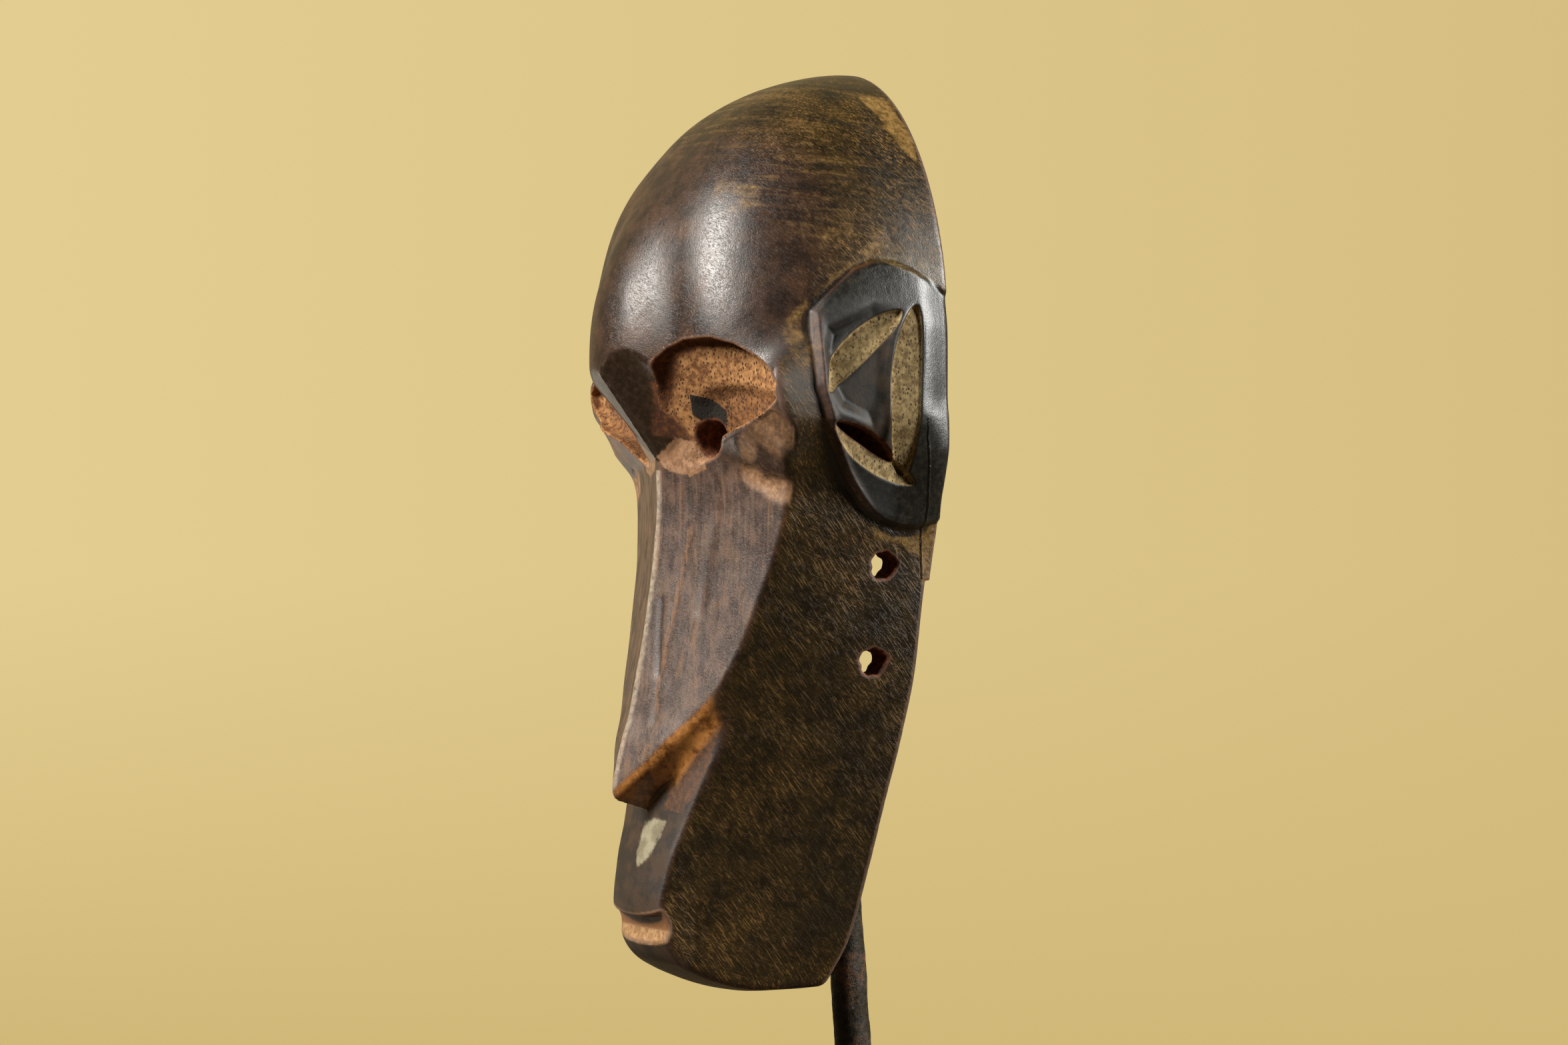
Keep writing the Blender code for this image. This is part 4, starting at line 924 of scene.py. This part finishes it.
# ear: dark relief, porous khaki leaves, brown ridge, slot
leaf_bed = mat.broken(zone["leaf"], fine, 0.7, 0.25, -0.15)
khaki = mat.mottle(fine, 0.34, 0.66, (110, 88, 50), (176, 152, 104))
khaki = mat.mix(mat.mul(mat.step(mat.cells(mat.vec(mm, (1, 1, 0.6)), 1.35), 0.40, 0.22),
                        mat.step(mat.weigh(mid, 0.5, fine, 0.5), 0.42, 0.54)),
                khaki, (58, 40, 22))
wide_pore = mat.step(mat.cells(mat.vec(mm, (1, 1, 0.7)), 0.42), 0.20, 0.10)
khaki = mat.coat(khaki, wide_pore, (40, 26, 14), 0.8)
khaki = mat.coat(khaki, mat.step(mid, 0.52, 0.70), (104, 78, 44), 0.5)
paint = mat.mottle(mid, 0.4, 0.6, (22, 18, 12), (58, 44, 28))
color = mat.coat(color, zone["pyramid"], paint, 0.8)
color = mat.coat(color, leaf_bed, khaki)
paint = mat.mottle(fine, 0.4, 0.66, (52, 32, 22), (86, 58, 42))
color = mat.coat(color, zone["ear_ridge"], paint, 0.85)
paint = mat.mottle(fine, 0.4, 0.7, (62, 50, 28), (116, 96, 60))
color = mat.coat(color, mat.broken(zone["crescent"], fine, 1.2, 0.3, -0.4), paint, 0.9)
paint = mat.mottle(fine, 0.4, 0.66, (78, 30, 8), (150, 82, 36))
color = mat.coat(color, mat.step(zone["slot"], 0.2, -0.3), paint)

# wear and a painted highlight along convex edges, dirt and painted shade in the creases, the
# crack, the hollow and the holes
# wear and a painted highlight on convex edges
where = mat.mul(mat.broken(zone["edge"], fine, 0.6), mat.sub(1.0, zone["socket"]))
color = mat.coat(color, where, (112, 88, 78), 0.5)
# dirt and painted shade in the creases
color = mat.coat(color, mat.broken(zone["crease"], fine, 0.5), (15, 9, 5), 0.75)
color = mat.coat(color, mat.step(zone["crack"], 0.34, 0.16), (10, 6, 4))
paint = mat.mottle(grain, 0.42, 0.62, (62, 42, 25), (100, 72, 44))
paint = mat.coat(paint, mat.step(mid, 0.46, 0.66), (36, 25, 16), 0.7)
color = mat.coat(color, zone["inner"], paint)
paint = mat.mottle(fine, 0.4, 0.66, (66, 28, 8), (130, 72, 30))
color = mat.coat(color, zone["hole"], paint)

bare = mat.top(mat.top(zone["socket"], leaf_bed), mat.top(zone["inner"], zone["hole"]))
rough = mat.add(mat.span(fine, 0.3, 0.7, 0.28, 0.40), mat.mul(scratch, 0.15))
# where, roughness there, strength
for where, value, strength in (
        (zone["gloss"], mat.span(micro, 0.3, 0.7, 0.24, 0.36), 0.6),
        (zone["temple"], 0.62, 0.9), (zone["ear_ridge"], 0.62, 0.9),
        (zone["slab"], mat.span(grain, 0.35, 0.65, 0.34, 0.52), None),
        (zone["lip"], 0.6, 0.8), (zone["scoop"], 0.62, 0.8), (bare, 0.85, None),
        (zone["muzzle"], 0.64, 0.9), (zone["inner_wall_shade"], 0.85, None), (gloss_and_painted_highlight, 0.30, None)):
    rough = mat.shift(rough, where, value, strength)

height = mat.weigh(fine, 0.45, micro, 0.34)
for where, depth in ((scratch, 0.12), (mat.step(grain, 0.50, 0.80), 0.10),
                     (pore, mat.mul(zone["socket"], 1.6)),
                     (mat.step(zone["crack"], 0.5, 0.1), 2.0)):
    height = mat.cut(height, where, depth)
WOOD = mat.finish(Base_Color=color, Roughness=rough, Metallic=0.0,
                  Normal=mat.bump(height, distance=0.00022, strength=0.55))
piece(mask, WOOD, "mask", "carved_wood", "mask_body")


# ================================================================ the stand's materials
def forged_iron():
    mat = Material("forged_iron_scale")
    mm = mat.millimetres()
    rust = mat.noise(mm, 0.11, detail=5, rough=0.65)
    scale = mat.noise(mm, 0.7, detail=5, rough=0.7)
    specks = mat.noise(mm, 2.4, rough=0.6)
    color = mat.mottle(scale, 0.38, 0.64, (34, 29, 22), (62, 54, 42))
    color = mat.mix(mat.mul(mat.step(rust, 0.50, 0.64), mat.step(scale, 0.42, 0.58)),
                    color, (96, 60, 32))
    color = mat.coat(color, mat.step(specks, 0.60, 0.74), (112, 100, 84), 0.7)
    color = mat.coat(color, mat.step(scale, 0.36, 0.28), (16, 12, 9))
    height = mat.weigh(scale, 0.7, specks, 0.4)
    return mat.finish(Base_Color=color, Roughness=mat.span(scale, 0.3, 0.7, 0.42, 0.72),
                      Metallic=mat.span(rust, 0.46, 0.62, 0.75, 0.25),
                      Normal=mat.bump(height, distance=0.0005, strength=0.8))


def saddle_leather():
    mat = Material("saddle_leather")
    mm = mat.millimetres()
    cloud = mat.noise(mm, 0.4, detail=4, rough=0.6)
    pebble = mat.cells(mm, 2.1, feature="DISTANCE_TO_EDGE")
    color = mat.mottle(cloud, 0.36, 0.64, (74, 46, 28), (112, 72, 44))
    color = mat.coat(color, mat.step(pebble, 0.10, 0.0), (46, 27, 16), 0.6)
    height = mat.add(mat.step(pebble, 0.0, 0.14), mat.mul(cloud, 0.4))
    return mat.finish(Base_Color=color, Roughness=mat.span(cloud, 0.3, 0.7, 0.5, 0.7),
                      Metallic=0.0, Normal=mat.bump(height, distance=0.00018, strength=0.7))


def waxed_thread():
    mat = Material("waxed_thread")
    mm = mat.millimetres()
    color = mat.mix(mat.noise(mm, 1.6, rough=0.6), (150, 126, 88), (196, 172, 128))
    height = mat.noise(mm, 5.0, detail=2)
    return mat.finish(Base_Color=color, Roughness=0.7, Metallic=0.0,
                      Normal=mat.bump(height, distance=0.0001, strength=0.6))


def blackened_steel():
    mat = Material("blackened_steel_satin")
    mm = mat.millimetres()
    cloud = mat.noise(mm, 0.25, detail=4, rough=0.6)
    lines = mat.noise(mat.vec(mm, (0.4, 0.4, 6.0)), rough=0.6)
    color = mat.mottle(cloud, 0.36, 0.66, (50, 48, 46), (78, 74, 70))
    color = mat.coat(color, mat.step(cloud, 0.62, 0.76), (92, 66, 44), 0.6)
    height = mat.add(mat.mul(lines, 0.5), cloud)
    return mat.finish(Base_Color=color, Roughness=mat.span(lines, 0.3, 0.7, 0.28, 0.44),
                      Metallic=0.9, Normal=mat.bump(height, distance=0.00008, strength=0.5))


def base_wood():
    """the grain runs along X"""
    mat = Material("stained_base_wood")
    mm = mat.millimetres()
    cloud = mat.noise(mat.vec(mm, (0.012, 0.06, 0.06)), distort=0.4)
    wave = mat.new("ShaderNodeTexWave", wave_type="BANDS", bands_direction="Y",
                   wave_profile="SAW")
    mat.filled(wave, Vector=mat.vec(mm, (0.02, 0.30, 0.30)), Scale=0.35, Distortion=5.0,
               Detail=3.0, Detail_Scale=0.6)
    rings = wave.outputs["Fac"]
    fibre = mat.noise(mat.vec(mm, (0.05, 1.6, 1.6)), detail=4, rough=0.6)
    color = mat.mix(rings, (44, 30, 21), (70, 48, 32))
    color = mat.coat(color, mat.step(fibre, 0.52, 0.70), (26, 17, 12), 0.7)
    color = mat.coat(color, mat.step(cloud, 0.52, 0.70), (88, 60, 38), 0.4)
    height = mat.sub(mat.mul(rings, 0.2), mat.step(fibre, 0.5, 0.7))
    return mat.finish(Base_Color=color, Roughness=mat.span(fibre, 0.3, 0.7, 0.34, 0.52),
                      Metallic=0.0, Normal=mat.bump(height, distance=0.00014, strength=0.6))


def wool_felt():
    mat = Material("wool_felt")
    fuzz = mat.noise(mat.millimetres(), 2.2, detail=5, rough=0.75, distort=1.2)
    return mat.finish(Base_Color=mat.mottle(fuzz, 0.35, 0.65, (26, 26, 24), (52, 50, 46)),
                      Roughness=0.97, Metallic=0.0,
                      Normal=mat.bump(fuzz, distance=0.0006, strength=0.9))


IRON, LEATHER, THREAD = forged_iron(), saddle_leather(), waxed_thread()
STEEL, BASE, FELT = blackened_steel(), base_wood(), wool_felt()
for name, material in (("base_block", BASE), ("base_felt", FELT), ("rod_socket", STEEL)):
    for slot in bpy.data.objects[name].material_slots:
        slot.material = material

# ================================================================ the stand's dimensions (mm)
LEAN = 0.078                                  # the rod leans to -Y by this much per mm of height
AXIS = np.array((0.0, -LEAN, 1.0)) / math.hypot(1.0, LEAN)
FOOT = np.array((0.0, 32.8, 0.0))             # where the rod's axis meets the ground
SOCKET_Z, FLANGE_H, COLLAR_H = 26.1, 3.0, 15.0
GAP = 0.3                                     # between neighbouring parts
ROD_Z, ROD_R, BAR_Z, ARM_Z = 7.8, 5.0, 287.3, 128.0
BAR_R, BAR_HALF, ARM_R = 3.0, 20.0, 2.5
ARM_TIP_Y = -13.0
PAD_SEAM_R = 4.55
SCREW_RING_R = 14.2


def on_axis(z):
    return FOOT + AXIS * (z / AXIS[2])


# ================================================================ turned and forged shapes
def lathe(profile, segments, centre, axis, step, shape=None):
    """points, radial directions and faces of a profile turned round an axis

    The profile is (radius, height), split into steps and closed on the axis at both ends.
    """
    rings = [profile[0]]
    for (r0, h0), (r1, h1) in zip(profile, profile[1:]):
        k = max(1, int(math.ceil(math.hypot(r1 - r0, h1 - h0) / step)))
        rings += [(r0 + (r1 - r0) * t / k, h0 + (h1 - h0) * t / k) for t in range(1, k + 1)]
    axis = np.array(axis, float) / np.linalg.norm(axis)
    first = np.cross(axis, (0.0, 0.0, 1.0) if abs(axis[2]) < 0.9 else (1.0, 0.0, 0.0))
    first /= np.linalg.norm(first)
    second = np.cross(axis, first)
    angle = np.linspace(0, 2 * np.pi, segments, endpoint=False)
    outward = np.cos(angle)[:, None] * first + np.sin(angle)[:, None] * second
    points = []
    for radius, height in rings:
        reach = radius if shape is None else shape(radius, height, angle)
        reach = np.broadcast_to(np.asarray(reach, float), angle.shape)
        points.append(np.array(centre) + axis * height + outward * reach[:, None])
    turns = [(a, (a + 1) % segments) for a in range(segments)]
    faces = [(k * segments + a, k * segments + b, (k + 1) * segments + b, (k + 1) * segments + a)
             for k in range(len(rings) - 1) for a, b in turns]
    count = len(rings) * segments
    last = count - segments
    for a, b in turns:
        faces += [(count, b, a), (count + 1, last + a, last + b)]
    points += [[points[0].mean(0)], [points[-1].mean(0)]]
    radial = np.concatenate([outward] * len(rings) + [np.zeros((2, 3))])
    return np.concatenate(points), radial, faces


def forged(points, radial, seed, flats=0.32, scale=0.14, pits=0.5):
    """hammer flats, scale and rust pits, all cut into the bar so that it never grows"""
    cut = (-flats * np.clip(0.45 + 0.9 * fbm(points, 7.5, seed, 2, (1, 1, 1.4)), 0, 1)
           - scale * np.clip(0.5 + fbm(points, 1.7, seed + 5, 2), 0, 1)
           - pits * ramp(0.42, 0.66, fbm(points, 2.6, seed + 9, 2)))
    return points + radial * cut[:, None]


def weld_bead(path, radius, phase):
    """a lumpy run of weld metal along a closed loop of points"""
    count, segments = len(path), 14
    tangent = np.roll(path, -1, 0) - np.roll(path, 1, 0)
    tangent /= np.linalg.norm(tangent, axis=1)[:, None]
    out = path - path.mean(0)
    out -= (out * tangent).sum(1)[:, None] * tangent
    out /= np.maximum(np.linalg.norm(out, axis=1), 1e-6)[:, None]
    up = np.cross(tangent, out)
    angle = np.linspace(0, 2 * np.pi, segments, endpoint=False)[None, :, None]
    ring = np.cos(angle) * out[:, None, :] + np.sin(angle) * up[:, None, :]
    turn = np.arange(count) * 2 * np.pi / count
    lumpy = radius * (1.0 + 0.16 * np.sin(9 * turn) + 0.10 * np.sin(4 * turn + phase))
    points = (path[:, None, :] + ring * lumpy[:, None, None]).reshape(-1, 3)
    faces = []
    for k in range(count):
        here, after = k * segments, (k + 1) % count * segments
        for a in range(segments):
            b = (a + 1) % segments
            faces.append((here + a, here + b, after + b, after + a))
    return points, faces


def joined(name, parts):
    points, faces, start = [], [], 0
    for part_points, part_faces in parts:
        points.append(part_points)
        faces += [tuple(i + start for i in face) for face in part_faces]
        start += len(part_points)
    return mesh_object(name, np.concatenate(points), faces)


# ================================================================ rod, cross bar and lower arm
def build_rod():
    """the leaning rod with its two weld beads"""
    length = (BAR_Z - BAR_R - GAP - ROD_Z) / AXIS[2]
    profile = [(4.2, 0.0), (ROD_R, 0.8), (ROD_R, length - 1.4), (4.3, length - 0.5),
               (3.4, length)]
    points, radial, faces = lathe(profile, 56, on_axis(ROD_Z), AXIS, step=1.0)
    rough = ramp(50.0, 62.0, points[:, 2])[:, None]         # left round in the socket
    points = points * (1 - rough) + forged(points, radial, seed=31) * rough
    angle = np.linspace(0, 2 * np.pi, 60, endpoint=False)
    cos, sin = np.cos(angle), np.sin(angle)
    top = on_axis(BAR_Z - 4.4)
    bar_weld = np.stack([top[0] + 3.9 * cos, top[1] + 3.9 * sin,
                         top[2] + 1.9 - 1.1 * np.cos(2 * angle)], 1)
    arm_weld = np.stack([2.7 * cos, on_axis(ARM_Z)[1] - 4.6 + 0.30 * cos ** 2,
                         ARM_Z + 2.7 * sin], 1)
    rod = joined("stand_rod_forged", [(points, faces), weld_bead(bar_weld, 0.95, phase=1),
                                      weld_bead(arm_weld, 0.85, phase=2)])
    piece(rod, IRON, "rod", "forged_iron", "stand_rod")


def build_bar(name, node, profile, segments, centre, axis, **marks):
    points, radial, faces = lathe(profile, segments, centre, axis, step=0.7)
    bar = mesh_object(name, forged(points, radial, **marks), faces)
    piece(bar, IRON, "rod", "forged_iron", node)


build_rod()
bar_centre = on_axis(BAR_Z)
build_bar("cross_bar_forged", "cross_bar",
          [(2.4, -BAR_HALF), (BAR_R, 0.6 - BAR_HALF), (BAR_R, BAR_HALF - 0.6), (2.4, BAR_HALF)],
          36, bar_centre, (1, 0, 0), seed=57, flats=0.22, scale=0.10, pits=0.3)
arm_root_y = on_axis(ARM_Z)[1] - 5.45
arm_length = arm_root_y - ARM_TIP_Y
build_bar("lower_arm_forged", "lower_arm",
          [(ARM_R, 0.0), (ARM_R, arm_length - 0.5), (2.0, arm_length)],
          32, (0, arm_root_y, ARM_Z), (0, -1, 0), seed=83, flats=0.18, scale=0.08, pits=0.25)


# ================================================================ leather pads
# radius, height along the pad's axis: the blind bore first, then the outside
BAR_PAD = [(0.05, 20.4), (3.25, 20.4), (3.25, 11.0), (3.8, 11.0), (4.35, 11.25), (4.6, 12.0),
           (4.6, 19.0), (4.1, 20.6), (2.8, 21.8), (0.05, 22.1)]
ARM_PAD = [(0.05, 7.4), (2.75, 7.4), (2.75, 0.0), (3.8, 0.0), (4.35, 0.25), (4.6, 1.0),
           (4.6, 7.8), (3.9, 8.9), (2.4, 9.6), (0.05, 9.8)]


def build_pad(name, centre, axis, profile, seam):
    """a leather sleeve, open at its mouth, with a stitched seam between two heights"""
    points, radial, faces = lathe(profile, 40, centre, axis, step=0.5)
    axis = np.array(axis, float)
    offset = points - np.array(centre)
    radius = np.linalg.norm(offset - (offset @ axis)[:, None] * axis, axis=1)
    crease = np.minimum(0.10 * fbm(points, 3.0, 7, 2), 0.0) - 0.05
    points = points + radial * (crease * (radius > 3.6))[:, None]      # the bore stays true
    piece(mesh_object(name + "_leather", points, faces), LEATHER, "rod", "leather", name)

    length, thick = 1.1, 0.17
    stitch = [(thick * 0.4, -length / 2), (thick, -length / 4), (thick, length / 4),
              (thick * 0.4, length / 2)]
    base = np.array(centre) - np.cross(axis, (0.0, 0.0, 1.0)) * PAD_SEAM_R
    tilted = axis + 0.25 * np.array((0, 0, 1.0))
    parts = [lathe(stitch, 8, base + axis * t, tilted, step=0.3)[::2]
             for t in np.arange(seam[0] + 0.9, seam[1] - 0.4, 1.5)]
    piece(joined(name + "_leather_stitching", parts), THREAD, "rod", "leather")


for side_name, sign in (("right", -1), ("left", 1)):
    build_pad("bar_pad_" + side_name, bar_centre, (sign, 0, 0), BAR_PAD, seam=(12.0, 19.0))
build_pad("arm_pad", (0, ARM_TIP_Y + 7.0, ARM_Z), (0, -1, 0), ARM_PAD, seam=(1.0, 7.8))

# ================================================================ socket screws and clamp screw
# radius, height above the underside of the head
SCREW = [(0.05, -11.4), (0.9, -9.5), (1.4, -8.0), (1.4, 0.0), (2.6, 0.0), (2.7, 0.1), (2.7, 0.6),
         (2.5, 1.0), (2.0, 1.4), (1.2, 1.63), (0.05, 1.7)]
SLOT_SIZE = (0.0070, 0.00075, 0.0018)         # m
# radius, distance from the rod's axis
CLAMP = [(0.05, 5.3), (1.2, 5.3), (2.0, 6.1), (2.0, 12.7), (4.2, 12.7), (4.9, 12.9), (5.4, 13.5),
         (5.4, 16.7), (5.1, 17.1), (4.6, 17.3), (3.0, 17.3), (2.6, 17.1), (0.05, 17.1)]


def slot_cutter(centre, degrees):
    shape = bmesh.new()
    bmesh.ops.create_cube(shape, size=1.0)
    bmesh.ops.scale(shape, vec=SLOT_SIZE, verts=shape.verts)
    bmesh.ops.rotate(shape, cent=(0, 0, 0), verts=shape.verts,
                     matrix=Matrix.Rotation(math.radians(degrees), 3, "Z"))
    bmesh.ops.translate(shape, vec=centre, verts=shape.verts)
    mesh = bpy.data.meshes.new("slot_cut")
    shape.to_mesh(mesh)
    shape.free()
    cutter = bpy.data.objects.new("slot_cut", mesh)
    SCENE.collection.objects.link(cutter)
    return cutter


def build_socket_screw(number, degrees, slot_degrees):
    x = SCREW_RING_R * math.cos(math.radians(degrees))
    y = on_axis(SOCKET_Z)[1] + SCREW_RING_R * math.sin(math.radians(degrees))
    z = SOCKET_Z + FLANGE_H + GAP
    points, _, faces = lathe(SCREW, 40, (x, y, z), (0, 0, 1), step=0.35)
    screw = mesh_object("socket_screw_%d_slotted" % number, points, faces)
    cutter = slot_cutter((x / 1000, y / 1000, (z + 1.75) / 1000), slot_degrees)
    cut = screw.modifiers.new("slot", "BOOLEAN")
    cut.operation, cut.solver, cut.object = "DIFFERENCE", "EXACT", cutter
    bpy.context.view_layer.update()
    depsgraph = bpy.context.evaluated_depsgraph_get()
    mesh = bpy.data.meshes.new_from_object(screw.evaluated_get(depsgraph))
    screw.modifiers.clear()
    screw.data = mesh
    bpy.data.objects.remove(cutter)
    for face in mesh.polygons:
        face.use_smooth = False
    piece(screw, STEEL, "base", "blackened_steel", "socket_screw_%d" % number)


def knurl_and_thread(radius, height, angle):
    knurl = (0.16 * np.cos(30 * angle) - 0.16) * (13.6 < height < 16.6) * (radius > 5.0)
    thread = 0.10 * (1 + math.sin(height * 5.2)) * (6.4 < height < 12.4) * (radius < 2.2)
    return radius + knurl - thread


for i in range(3):
    build_socket_screw(i + 1, 90 + 120 * i, 25 + 47 * i)
clamp_z = SOCKET_Z + FLANGE_H + COLLAR_H * 0.56
points, _, faces = lathe(CLAMP, 120, (0, on_axis(clamp_z)[1], clamp_z), (1, 0, 0), step=0.24,
                         shape=knurl_and_thread)
piece(mesh_object("clamp_screw_knurled", points, faces), STEEL, "clamp", "blackened_steel",
      "clamp_screw")


# ================================================================ floor, world, lights and camera
def build_floor():
    """a disc that fades out towards its rim"""
    mat = Material("pale_floor")
    radius = mat.new("ShaderNodeVectorMath", operation="LENGTH")
    mat.put(radius.inputs[0], mat.vec(mat.coords["Object"], (1, 1, 0)))
    seen = mat.new("ShaderNodeLightPath").outputs["Is Camera Ray"]
    mat.finish(Base_Color=mat.mix(seen, (84, 74, 56), (160, 145, 112)), Roughness=0.95,
               Metallic=0.0, Alpha=mat.step(radius.outputs["Value"], 0.47, 0.26),
               Specular_IOR_Level=0.0)
    shape = bmesh.new()
    bmesh.ops.create_circle(shape, cap_ends=True, radius=0.48, segments=96)
    mesh = bpy.data.meshes.new("floor")
    shape.to_mesh(mesh)
    shape.free()
    floor = bpy.data.objects.new("floor", mesh)
    mesh.materials.append(mat.material)
    SCENE.collection.objects.link(floor)
    floor.location.z = -0.0002


def build_world():
    """a pale backdrop for the camera; dim warm light, brighter towards -X and +Y"""
    world = bpy.data.worlds.new("studio")
    SCENE.world = world
    sky = Graph(world)
    window = sky.new("ShaderNodeSeparateXYZ")
    sky.put(window.inputs[0], sky.coords["Window"])
    backdrop = sky.mix(window.outputs[0], (227, 205, 144), (214, 190, 130))
    low = sky.span(window.outputs[1], 0.45, 0.0)
    backdrop = sky.mix(low, backdrop, (208, 184, 121))
    seen = sky.filled(sky.new("ShaderNodeBackground"), Color=backdrop, Strength=1.0)
    toward = sky.new("ShaderNodeVectorMath", operation="DOT_PRODUCT")
    sky.put(toward.inputs[0], sky.coords["Generated"])
    toward.inputs[1].default_value = (-0.88, 0.47, 0.0)
    glow = sky.step(toward.outputs["Value"], 0.0, 0.8, 0.03, 0.50)
    light = sky.filled(sky.tree.nodes["Background"], Color=linear(232, 212, 160),
                       Strength=glow)
    choice = sky.new("ShaderNodeMixShader")
    rays = sky.new("ShaderNodeLightPath").outputs["Is Camera Ray"]
    for i, source in enumerate((rays, light, seen)):
        sky.put(choice.inputs[i], source)
    sky.put(sky.tree.nodes["World Output"].inputs["Surface"], choice.outputs[0])


LIGHT_AIM = Vector((0, -0.01, 0.22))


def softbox(name, azimuth, elevation, distance, size, power, color):
    """a rectangular light; azimuth in degrees from -Y towards +X"""
    azimuth, elevation = math.radians(azimuth), math.radians(elevation)
    away = Vector((math.sin(azimuth) * math.cos(elevation),
                   -math.cos(azimuth) * math.cos(elevation), math.sin(elevation)))
    light = bpy.data.lights.new(name, "AREA")
    light.shape = "RECTANGLE"
    light.size, light.size_y = size
    light.energy = power
    light.color = color
    ob = bpy.data.objects.new(name, light)
    SCENE.collection.objects.link(ob)
    ob.location = LIGHT_AIM + away * distance
    ob.rotation_euler = (-away).to_track_quat("-Z", "Y").to_euler()


def build_camera(azimuth, distance, lens, shift_right, shift_up):
    """a level camera, aimed beside and above the mask's origin; lens in mm, the rest in m"""
    data = bpy.data.cameras.new("camera")
    camera = bpy.data.objects.new("camera", data)
    SCENE.collection.objects.link(camera)
    SCENE.camera = camera
    azimuth = math.radians(azimuth)
    back = Vector((math.sin(azimuth), -math.cos(azimuth), 0))
    right = Vector((math.cos(azimuth), math.sin(azimuth), 0))
    aim = (right * shift_right + Vector((0, 0, shift_up))
           + Vector(MASK_ORIGIN.tolist()) * 0.001)
    data.sensor_width = 36.0
    data.lens = lens
    data.clip_start, data.clip_end = 0.05, 20
    camera.location = aim + back * distance
    camera.rotation_euler = (-back).to_track_quat("-Z", "Y").to_euler()


build_floor()
build_world()
softbox("key_softbox", azimuth=-1, elevation=33, distance=1.3, size=(0.34, 0.60), power=36.0,
        color=(1.0, 0.96, 0.89))
softbox("left_strip", azimuth=-78, elevation=-22, distance=1.4, size=(0.12, 0.24), power=1.5,
        color=(1.0, 0.98, 0.93))
softbox("rear_softbox", azimuth=140, elevation=18, distance=1.3, size=(0.32, 0.6), power=24.0,
        color=(1.0, 0.99, 0.95))
SCENE.view_settings.view_transform = "Standard"
build_camera(azimuth=62.0, distance=1.03, lens=90.335204, shift_right=0.01326353,
             shift_up=0.12268761)
